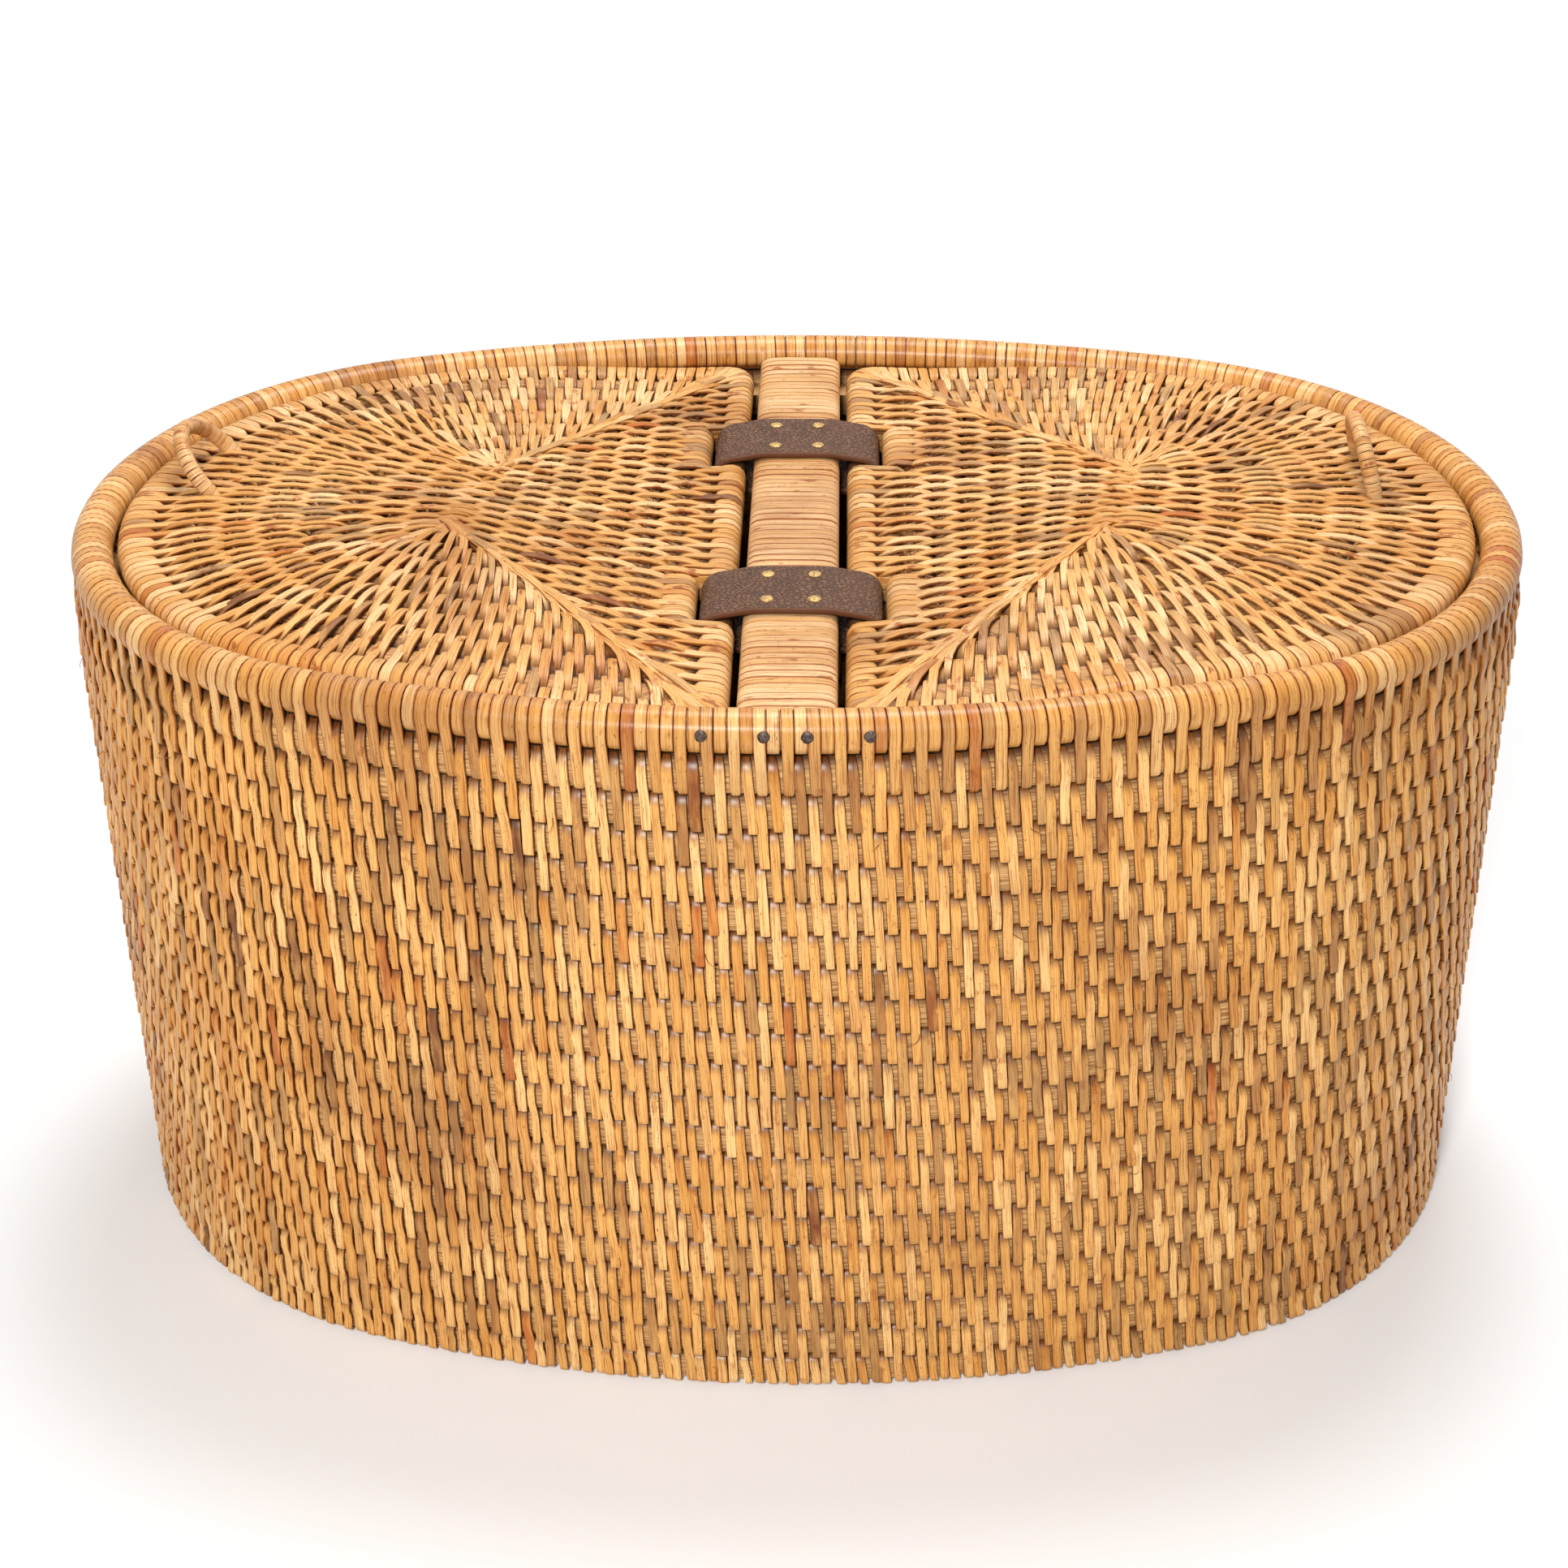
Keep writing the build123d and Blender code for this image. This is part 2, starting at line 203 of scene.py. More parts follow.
class Strand:
    """One strip of peel in its own space: station along, place across (-0.5..0.5), height (0..1)."""

    def __init__(self, stations, closed=False, shoulder=0.8):
        if closed:
            piece, share, _ = torus(stations, 5)
            raw = corners_of(piece)
            self.station = np.round(share * stations).astype(int) % stations
            across, height = raw[:, 2], np.hypot(raw[:, 0], raw[:, 1]) - 2
        else:
            deselect()
            bpy.ops.mesh.primitive_cylinder_add(vertices=5, radius=0.5, depth=stations - 1)
            piece = bpy.context.active_object
            bpy.ops.object.mode_set(mode="EDIT")
            for cut in range(1, stations - 1):
                bpy.ops.mesh.select_all(action="SELECT")
                bpy.ops.mesh.bisect(plane_co=(0, 0, cut - (stations - 1) / 2), plane_no=(0, 0, 1))
            bpy.ops.object.mode_set(mode="OBJECT")
            raw = corners_of(piece)
            self.station = np.round(raw[:, 2] + (stations - 1) / 2).astype(int)
            across, height = raw[:, 0], raw[:, 1]
        across = across / (across.max() - across.min())
        height = (height - height.min()) / (height.max() - height.min())
        # Five corners round the strip: a flat back, upright edges and a low crown
        crown, upper = height > 0.9, (height > 0.3) & (height <= 0.9)
        self.height = np.where(crown, 1.0, np.where(upper, shoulder, 0.0))
        self.across = np.where(crown, 0.0, np.sign(across) * np.where(upper, 0.45, 0.5))
        self.corner = np.where(upper, np.sign(across), 0)
        self.faces = [tuple(p.vertices) for p in piece.data.polygons]
        self.count = stations
        bpy.data.objects.remove(piece)

    def lay(self, name, path, side, normal, width, tones, depth=PEEL):
        """Lay copies along paths. path, side, normal: (copies, stations, 3); width: (copies, stations)."""
        k = self.station
        points = (
            path[:, k]
            + side[:, k] * (self.across * width[:, k])[:, :, None]
            + normal[:, k] * (self.height * depth)[None, :, None]
        )
        copies, size = len(path), len(k)
        faces = [tuple(copy * size + i for i in face) for copy in range(copies) for face in self.faces]
        piece = mesh_piece(name, points.reshape(-1, 3), faces)
        # The two upper corners stay crisp along the strip
        ends = np.empty(2 * len(piece.data.edges), np.int32)
        piece.data.edges.foreach_get("vertices", ends)
        corner = self.corner[ends.reshape(-1, 2) % size]
        crisp = (corner[:, 0] != 0) & (corner[:, 0] == corner[:, 1])
        sharp = piece.data.attributes.new("sharp_edge", "BOOLEAN", "EDGE")
        sharp.data.foreach_set("value", crisp)
        step = np.linalg.norm(np.diff(path, axis=1), axis=2)
        along = np.concatenate([np.zeros((copies, 1)), np.cumsum(step, axis=1)], axis=1)[:, k]
        across = self.across * width[:, k]
        tone = np.repeat(tones[:, None], size, axis=1)
        give_grain(piece, np.stack([across + tone * 7, along + tone * 13, tone], axis=2).reshape(-1, 3))
        recalculate(piece)
        return piece


class Strips:
    """Strips that are gathered one by one, or row by row, and then laid as one piece."""

    def __init__(self):
        self.parts = []

    def add(self, path, side, normal, width):
        self.parts.append((path, side, normal, width))

    def lay(self, strand, name, tones, depth=PEEL, join=np.array):
        return strand.lay(name, *map(join, zip(*self.parts)), np.asarray(tones), depth)


# ---- the oval


class Oval:
    """A four-centre oval, by share of the way round; 0 is in the middle of the right end."""

    def __init__(self, half_length, half_width, samples=800):
        end_radius = END_FULLNESS * half_width
        end_x = half_length - end_radius
        side_radius = (end_x**2 + half_width**2 - end_radius**2) / (2 * (half_width - end_radius))
        side_y = side_radius - half_width
        end_swing = math.atan2(side_y, end_x)
        side_swing = math.pi - 2 * end_swing
        points, normals = [], []
        for centre, radius, start, swing in (
            ((end_x, 0), end_radius, -end_swing, 2 * end_swing),
            ((0, -side_y), side_radius, end_swing, side_swing),
            ((-end_x, 0), end_radius, math.pi - end_swing, 2 * end_swing),
            ((0, side_y), side_radius, math.pi + end_swing, side_swing),
        ):
            angle = start + swing * np.arange(samples) / samples
            outward = np.stack([np.cos(angle), np.sin(angle)], axis=1)
            points.append(np.array(centre) + radius * outward)
            normals.append(outward)
        points = np.roll(np.concatenate(points), -samples // 2, axis=0)
        normals = np.roll(np.concatenate(normals), -samples // 2, axis=0)
        self.points = np.concatenate([points, points[:1]])
        self.normals = np.concatenate([normals, normals[:1]])
        self.travel = travelled(self.points)
        self.length = self.travel[-1]

    def at(self, share):
        """Points and outward normals (level, three numbers each) at shares of the way round."""
        reach = (np.asarray(share) % 1.0) * self.length
        point = [np.interp(reach, self.travel, self.points[:, i]) for i in (0, 1)]
        normal = [np.interp(reach, self.travel, self.normals[:, i]) for i in (0, 1)]
        flat = np.zeros_like(reach)
        return np.stack(point + [flat], axis=-1), unit(np.stack(normal + [flat], axis=-1))


oval = Oval(HALF_LENGTH, HALF_WIDTH)
UP = np.array([0.0, 0.0, 1.0])


def on_wall(share, offset, height):
    """A line at some offset outwards from the oval, with the outward direction along it."""
    point, normal = oval.at(share)
    return point + normal * offset[:, None] + UP * height[:, None], normal


# ---- materials

class Shade:
    """A socket that takes part in Python maths by adding Math nodes."""

    def __init__(self, tree, socket):
        self.tree, self.socket = tree, socket

    def maths(self, operation, *values):
        return self.tree.node("ShaderNodeMath", {"operation": operation}, list(values))

    def __add__(self, other):
        return self.maths("ADD", self, other)

    def __sub__(self, other):
        return self.maths("SUBTRACT", self, other)

    def __rsub__(self, other):
        return self.maths("SUBTRACT", other, self)

    def __mul__(self, other):
        return self.maths("MULTIPLY", self, other)

    def __abs__(self):
        return self.maths("ABSOLUTE", self)


class Tree:
    """The nodes of a material or of the world."""

    def __init__(self, owner):
        owner.use_nodes = True
        self.nodes = owner.node_tree.nodes
        self.links = owner.node_tree.links

    def node(self, kind, settings=None, inputs=None, output=0):
        """Add a node, with its settings first and then the values or links of its sockets."""
        node = self.nodes.new(kind)
        for key, value in (settings or {}).items():
            if key == "stops":
                ramp = node.color_ramp
                while len(ramp.elements) < len(value):
                    ramp.elements.new(0.5)
                for element, (place, colour) in zip(ramp.elements, value):
                    element.position = place
                    element.color = (*colour, 1)
            else:
                setattr(node, key, value)
        pairs = enumerate(inputs) if isinstance(inputs, list) else (inputs or {}).items()
        for key, value in pairs:
            if isinstance(value, Shade):
                self.links.new(value.socket, node.inputs[key])
            else:
                node.inputs[key].default_value = value
        return Shade(self, node.outputs[output])

    def split(self, vector):
        """The three parts of a vector."""
        parts = self.node("ShaderNodeSeparateXYZ", None, [vector])
        return [Shade(self, part) for part in parts.socket.node.outputs]

    def seen_directly(self):
        """1 for rays that show the background: from the camera, or by a reflection or through glass."""
        rays = self.node("ShaderNodeLightPath").socket.node.outputs
        kinds = ("Is Camera Ray", "Is Glossy Ray", "Is Transmission Ray")
        camera, glossy, through = (Shade(self, rays[kind]) for kind in kinds)
        return camera.maths("MAXIMUM", camera, glossy + through)

    def white(self, kind, strength=1.0):
        """A shader that only gives white light."""
        return self.node(kind, None, {"Color": (1, 1, 1, 1), "Strength": strength})

    def choose(self, share, first, second, output):
        """Mix two shaders and give the result to the output node."""
        mixed = self.node("ShaderNodeMixShader", None, [share, first, second])
        self.links.new(mixed.socket, self.nodes[output].inputs["Surface"])


class Finish(Tree):
    """A material with one main shader."""

    def __init__(self, name, **constants):
        self.material = bpy.data.materials.new(name)
        super().__init__(self.material)
        self.shader = self.nodes["Principled BSDF"]
        for socket, value in constants.items():
            self.shader.inputs[socket.replace("_", " ")].default_value = value

    def feed(self, **links):
        """Link values to the shader, which completes the material."""
        for socket, value in links.items():
            self.links.new(value.socket, self.shader.inputs[socket.replace("_", " ")])
        return self.material

    def step(self, value, low, high, out_low=0.0, out_high=1.0):
        """A soft step from low to high."""
        settings = {"interpolation_type": "SMOOTHSTEP"}
        return self.node("ShaderNodeMapRange", settings, [value, low, high, out_low, out_high])

    def ramp(self, value, stops):
        return self.node("ShaderNodeValToRGB", {"stops": stops}, [value])

    def noise(self, vector, scale, detail=2.0, roughness=0.5):
        inputs = {"Vector": vector, "Scale": scale, "Detail": detail, "Roughness": roughness}
        return self.node("ShaderNodeTexNoise", None, inputs)

    def mapped(self, vector, **change):
        return self.node("ShaderNodeMapping", {"vector_type": "POINT"}, {"Vector": vector, **change})

    def fibres(self, vector, scale, detail=3.0, roughness=0.6):
        """Noise that is drawn out, with its own scale along each direction of the vector."""
        return self.noise(self.mapped(vector, Scale=scale), 1.0, detail, roughness)

    def mix(self, factor, first, second, blend="MIX"):
        settings = {"data_type": "RGBA", "blend_type": blend}
        return self.node("ShaderNodeMix", settings, {0: factor, 6: first, 7: second}, output=2)

    def overlay(self, colour, pattern, low, high, amount, tint, blend="MIX"):
        """Lay a tint over a colour where a pattern is high."""
        return self.mix(self.step(pattern, low, high, 0.0, amount), colour, (*tint, 1), blend)

    def bump(self, height, strength, distance):
        inputs = {"Height": height, "Strength": strength, "Distance": distance}
        return self.node("ShaderNodeBump", None, inputs)

    def place(self):
        return self.node("ShaderNodeTexCoord", output=3)

    def grain(self):
        """The strip's own (across, along, tone)."""
        return self.node("ShaderNodeAttribute", {"attribute_name": "grain"}, output=1)


def linear(red, green, blue):
    """A display colour, 0 to 255, as linear light."""
    return tuple(((c / 255 + 0.055) / 1.055) ** 2.4 if c > 10 else c / 3295 for c in (red, green, blue))


STRAW = linear(246, 206, 138)
HONEY = linear(232, 178, 98)
GOLD = linear(212, 150, 66)
TAN = linear(186, 132, 70)
GREY_TAN = linear(172, 132, 78)
AMBER = linear(194, 108, 34)
BROWN = linear(112, 62, 24)
DEEP = linear(72, 36, 12)
# Darkens the tucked-in ends of stitches: grime and painted shade
GRIME_AND_SHADE = linear(118, 80, 48)

# The colours that strips of peel have, by their tone
MIXED = [
    (0.0, BROWN), (0.03, AMBER), (0.08, GOLD), (0.3, HONEY), (0.46, GOLD),
    (0.62, STRAW), (0.76, HONEY), (0.86, GREY_TAN), (0.95, TAN), (1.0, BROWN),
]
CALM = [
    (0.0, AMBER), (0.04, TAN), (0.1, HONEY), (0.35, GOLD),
    (0.5, HONEY), (0.7, STRAW), (0.85, HONEY), (1.0, TAN),
]
PALE = [(0.0, TAN), (0.08, HONEY), (0.4, STRAW), (0.6, HONEY), (0.8, STRAW), (1.0, HONEY)]


def peel_finish(name, tint, roughness, coat, tones=MIXED, buried=0.0, stained=0.5):
    """Rattan peel: a colour for each strip, lengthwise streaks, dark flecks and a satin skin."""
    finish = Finish(name, Coat_Weight=coat, Coat_Roughness=0.26, IOR=1.45, Specular_IOR_Level=0.22)
    grain = finish.grain()
    across, along, tone = finish.split(grain)
    streaks = finish.fibres(grain, (2600, 45, 3), 3.0, 0.65)
    layers = [
        (finish.fibres(grain, (260, 55, 9), 3.0, 0.5), 0.35, 0.75, 0.55, HONEY),
        (streaks, 0.42, 0.7, 0.8, TAN, "MULTIPLY"),
        (finish.noise(finish.place(), 11.0, 3.0), 0.5, 0.72, 0.5, GREY_TAN, "MULTIPLY"),
        (finish.fibres(grain, (170, 95, 17)), 0.6, 0.7, stained, TAN, "MULTIPLY"),
        (finish.fibres(grain, (2900, 130, 7), 2.0, 0.5), 0.64, 0.7, 0.7, BROWN),
        # Along both edges of the strip the skin ends and the fibre is darker
        (abs(across - tone * 7), 1.5 * MM, 2.4 * MM, 0.85, TAN, "MULTIPLY"),
        (finish.fibres(grain, (900, 500, 5), 2.0), 0.66, 0.74, 0.8, BROWN),
        (finish.fibres(grain, (1900, 1500, 23), 2.0), 0.68, 0.74, 0.8, DEEP),
    ]
    colour = finish.ramp(tone, tones)
    for layer in layers[:-2]:
        colour = finish.overlay(colour, *layer)
    if buried:
        # The end that dives under the row above is darker: some grime, and painted shade where the row
        # above hangs over it
        grime_and_shade = finish.step(along - tone * 13, 1.0 * MM, 8.0 * MM, buried, 0.0)
        colour = finish.mix(grime_and_shade, colour, (*GRIME_AND_SHADE, 1), "MULTIPLY")
    for layer in layers[-2:]:
        colour = finish.overlay(colour, *layer)
    return finish.feed(
        Base_Color=finish.mix(1.0, colour, (*tint, 1), "MULTIPLY"),
        Roughness=finish.step(streaks, 0.2, 0.8, roughness - 0.08, roughness + 0.16),
        Normal=finish.bump(streaks, 0.35, 0.0004),
    )


def core_finish(name, low, high):
    """Split fibre core: fine strands that run along the row, and painted shade in the grooves between the
    rows.
    """
    finish = Finish(name, IOR=1.4)
    grain = finish.grain()
    strands = finish.fibres(grain, (1500, 40, 1), 2.0)
    groove = finish.split(grain)[2]
    colour = finish.ramp(strands, [(0.32, low), (0.62, high)])
    colour = finish.overlay(colour, finish.fibres(grain, (420, 160, 1)), 0.5, 0.75, 0.6, BROWN)
    # Painted shade: the core is darkened towards DEEP where its grain says it lies deep in a groove
    colour = finish.overlay(colour, groove, 0.15, 0.9, 0.92, DEEP)
    rough = finish.step(strands, 0.2, 0.8, 0.55, 0.8)
    return finish.feed(Base_Color=colour, Roughness=rough, Normal=finish.bump(strands, 0.6, 0.0006))


def leather_finish(name, middle_y):
    """Dark brown pebbled leather, with a redder cut edge along both sides."""
    finish = Finish(name, IOR=1.45, Specular_IOR_Level=0.3)
    place = finish.place()
    turned = finish.mapped(place, Rotation=(0, 0, 0.45))
    cells = finish.node(
        "ShaderNodeTexVoronoi",
        {"feature": "DISTANCE_TO_EDGE"},
        {"Vector": finish.mapped(turned, Scale=(430, 830, 430)), "Scale": 1.0},
    )
    pebbles = finish.step(cells + finish.noise(place, 260.0, 3.0) * 0.25, 0.1, 0.45)
    colour = finish.ramp(pebbles, [(0.0, linear(60, 37, 24)), (1.0, linear(126, 88, 63))])
    colour = finish.overlay(colour, finish.noise(place, 60.0, 2.0), 0.4, 0.7, 0.3, linear(98, 64, 46))
    cut = finish.step(abs(finish.split(place)[1] - middle_y), 18.35 * MM, 18.6 * MM)
    return finish.feed(
        Base_Color=finish.mix(cut, colour, (*linear(96, 58, 36), 1)),
        Roughness=finish.step(pebbles, 0.0, 1.0, 0.62, 0.45),
        Normal=finish.bump(pebbles * (1 - cut), 0.7, 0.0009),
    )


def metal_finish(name, bright, dull, roughness, metallic):
    """Worn metal: bright with duller patches."""
    finish = Finish(name, Metallic=metallic)
    wear = finish.noise(finish.place(), 900.0, 3.0, 0.6)
    colour = finish.ramp(wear, [(0.35, dull), (0.6, bright)])
    rough = finish.step(wear, 0.3, 0.7, roughness + 0.2, roughness)
    return finish.feed(Base_Color=colour, Roughness=rough, Normal=finish.bump(wear, 0.3, 0.0002))


# buried sets how strongly the tucked-in end of each stitch is darkened with grime and painted shade
peel = peel_finish("peel_stitches", (1.03, 0.99, 0.97), 0.4, 0.28, buried=0.9)
rim_peel = peel_finish("peel_rim", (0.9, 0.88, 0.95), 0.4, 0.22, CALM)
lid_peel = peel_finish("peel_lid", (0.92, 0.95, 1.18), 0.46, 0.12, buried=0.8, stained=0.9)
bar_peel = peel_finish("peel_bar", (0.85, 0.86, 1.12), 0.42, 0.15, PALE, stained=0.9)
handle_peel = peel_finish("peel_handle", (0.93, 0.93, 1.18), 0.42, 0.15, PALE, stained=0.9)
wall_core = core_finish("core_wall", linear(150, 100, 52), linear(226, 178, 116))
lid_core = core_finish("core_lid", linear(120, 74, 36), linear(206, 154, 96))
brass = metal_finish("brass", linear(196, 162, 104), linear(130, 102, 62), 0.5, 0.65)
iron = metal_finish("nail_iron", linear(96, 78, 68), linear(34, 22, 16), 0.5, 0.4)

dice = np.random.default_rng(11)


def dress(piece, material, body):
    """Give a piece its finish and the body that it rides on."""
    piece.data.materials.clear()
    piece.data.materials.append(material)
    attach(piece, body)
    return piece


def tone_runs(count, shortest=2, longest=12):
    """One strip of peel makes several stitches, so tones come in runs, with some strays."""
    tones = []
    while len(tones) < count:
        run = int(dice.integers(shortest, longest))
        tones += list(np.clip(0.1 + 0.78 * dice.random() + dice.normal(0, 0.09, run), 0.06, 0.97))
    tones = np.array(tones[:count])
    stray = dice.random(count) < 0.3
    tones[stray] = dice.random(int(stray.sum()))
    return tones


# ---- wall

def ring_piece(name, around, groove=None):
    """A closed ring that follows the oval. around: (offset outwards, height) points, anticlockwise.

    groove tells how deep in a groove each of those points lies, 0 to 1; the core's material paints shade
    there by it.
    """
    piece, share, index = torus(360, len(around))
    named(name)
    around = np.asarray(around)
    point, normal = oval.at(share)
    place = point + normal * around[index, :1] + UP * around[index, 1:]
    depth = groove[index] if groove is not None else np.zeros(len(index))
    return reshape(piece, place, np.stack([travelled(around)[index], share * oval.length, depth], axis=1))


ROW_HEIGHT = WALL_TOP / WALL_ROWS
# Depth of a row's bead at shares of the way down it: the foot of a row stands proud of the next
BEAD = ((0.0, -5.4), (0.12, -3.0), (0.36, -1.6), (0.72, -0.9), (0.92, -1.5))


def wall_core_outline():
    """The wall's section, up the outer side and down the inner side."""
    outer, inner = [], []
    for row in range(WALL_ROWS):
        for share, depth in BEAD:
            height = WALL_TOP - (row + share) * ROW_HEIGHT
            outer.append((depth * MM, height))
            inner.append((-WALL_THICKNESS - depth * MM, height))
    bottom = [(-3 * MM, 0.3 * MM), (-WALL_THICKNESS + 3 * MM, 0.3 * MM)]
    return outer[::-1] + inner + bottom[::-1]


def wall_stitches(name, side, first_row, last_row):
    """Stitches over two rows each, staggered row by row. side is 1 outside, -1 inside."""
    stations = np.array([0.0, 0.06, 0.17, 0.33, 0.5, 0.67, 0.86, 0.96, 1.0])
    depths = np.array([-4.4, -2.5, 0.0, 0.5, -0.2, 0.1, 1.15, 1.35, -0.7]) * MM
    widths = np.array([0.62, 0.85, 1.0, 1.0, 1.0, 1.0, 1.0, 0.95, 0.74])
    strips, tones = Strips(), []
    for row in range(first_row, last_row):
        rows_down = 2 if row < WALL_ROWS - 1 else 1
        start = WALL_TOP - row * ROW_HEIGHT + 0.5 * MM
        drop = rows_down * ROW_HEIGHT + 0.2 * MM
        for column in range(COLUMNS):
            share = (column + 0.5 * ((row + 1) % 2)) / COLUMNS
            share += dice.normal(0, 0.26 * MM) / oval.length
            lean = (1.8 + dice.normal(0, 0.45)) * MM / oval.length
            wave = dice.normal(0, 0.12 * MM) / oval.length
            bow = np.sin(stations * math.pi * 2) * wave
            length_change = dice.normal(0, 0.35 * MM)
            if row + rows_down == WALL_ROWS:
                # The lowest stitches end just above the floor
                length_change = start - drop - 1.6 * MM + 0.3 * length_change
            height = start - stations * (drop + length_change)
            push = depths + dice.normal(0, 0.12 * MM)
            offset = push if side > 0 else -(WALL_THICKNESS + push)
            path, normal = on_wall(share + lean * stations + bow, offset, height)
            width = widths * np.clip(WALL_PEEL_WIDTH + dice.normal(0, 0.36 * MM), 3.2 * MM, 4.9 * MM)
            strips.add(path, np.cross(UP, normal) * side, normal * side, width)
        tones.append(tone_runs(COLUMNS))
    return strips.lay(stitch, name, np.concatenate(tones))


def rim_wraps():
    """Peel round the rim: every other strip runs on down over the first row of the wall."""
    strips, tones = Strips(), []
    radius = RIM_RADIUS - 0.9 * MM
    stations = wrap.count
    for index in range(2 * COLUMNS):
        share = (index * 0.5 + 0.02) / COLUMNS + dice.normal(0, 0.12 * MM) / oval.length
        if index % 2 == 0:
            turn = np.concatenate([np.linspace(205, -22, stations - 5), np.full(5, -22)])
            down = np.concatenate([np.zeros(stations - 5), [0.28, 0.55, 0.8, 0.95, 1.0]])
        else:
            turn = np.concatenate([np.linspace(205, -40, stations - 3), [-54, -66, -74]])
            down = np.zeros(stations)
        turn = np.radians(turn)
        height = RIM_LEVEL + radius * np.sin(turn)
        height = height + down * (WALL_TOP - ROW_HEIGHT - height[-1])
        depth = np.interp(down, [0, 0.25, 0.6, 0.9, 1.0], [0, -1.6, -1.5, -1.2, -2.8]) * MM
        offset = np.where(down > 0, 0.2 * MM + depth, radius * np.cos(turn) - RIM_RADIUS)
        slant = (np.cos(turn) * 0.5 * MM + down * (0.8 + dice.normal(0, 0.5)) * MM) / oval.length
        path, normal = on_wall(share + slant, offset, height)
        facing = np.cos(turn)[:, None] * normal + np.sin(turn)[:, None] * UP
        facing = np.where(down[:, None] > 0, normal, facing)
        width = (RIM_PEEL_WIDTH + dice.normal(0, 0.12 * MM)) * np.where(down > 0, 0.94, 1.0)
        width[-2:] *= 0.85, 0.55
        strips.add(path, np.cross(UP, normal), unit(facing), width)
        tones.append(dice.random())
    return strips.lay(wrap, "rim_wrapping", tones)


def loose_fibres(count):
    """Fine fibres that have sprung out of the stitches of the wall."""
    stations = np.linspace(0, 1, stitch.count)
    strips = Strips()
    for _ in range(count):
        step = (4 + 9 * dice.random()) * MM / stitch.count
        swing = dice.normal(0, 0.9)
        angle = swing + dice.normal(0, 1.2) * stations
        level = (0.06 + 0.86 * dice.random()) * WALL_TOP
        along = np.cumsum(np.sin(angle)) * step
        height = level - np.cumsum(np.cos(angle)) * step
        rise = (1.3 + (1 + 2 * dice.random()) * np.sin(stations * 2.2)) * MM
        path, normal = on_wall(dice.random() + along / oval.length, rise, height)
        side = unit(np.cross(normal, unit(np.gradient(path, axis=0))))
        strips.add(path, side, normal, 0.34 * MM * np.sqrt(1 - 0.8 * stations))
    return strips.lay(stitch, "loose_fibres", 0.3 + 0.5 * dice.random(count), 0.22 * MM)


stitch = Strand(9, shoulder=0.82)
wrap = Strand(16, shoulder=0.96)

outline = np.array(wall_core_outline())
# How far each point of the section is sunk into a groove sets the core's painted shade
sunk = np.minimum(-outline[:, 0], WALL_THICKNESS + outline[:, 0])
core = ring_piece("wall_core", outline, np.clip((sunk - 1.2 * MM) / (3.2 * MM), 0, 1))
dress(core, wall_core, "basket")
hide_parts("wall_coil")
for first_row in range(0, WALL_ROWS, 7):
    last_row = min(first_row + 7, WALL_ROWS)
    for side, where in ((1, "outer"), (-1, "inner")):
        stitches = wall_stitches(f"wall_stitches_{where}_{first_row}", side, first_row, last_row)
        dress(stitches, peel, "basket")
dress(loose_fibres(110), peel, "basket")

rim_core_radius = RIM_RADIUS - 1.0 * MM
rim_round = [
    (rim_core_radius * math.cos(a) - RIM_RADIUS, RIM_LEVEL + rim_core_radius * math.sin(a))
    for a in np.linspace(0, 2 * math.pi, 12, endpoint=False)
]
rim_core = ring_piece("rim_core", rim_round)
dress(rim_core, wall_core, "basket")
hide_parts("rim_pole")
dress(rim_wraps(), rim_peel, "basket")


# ---- coiled panels

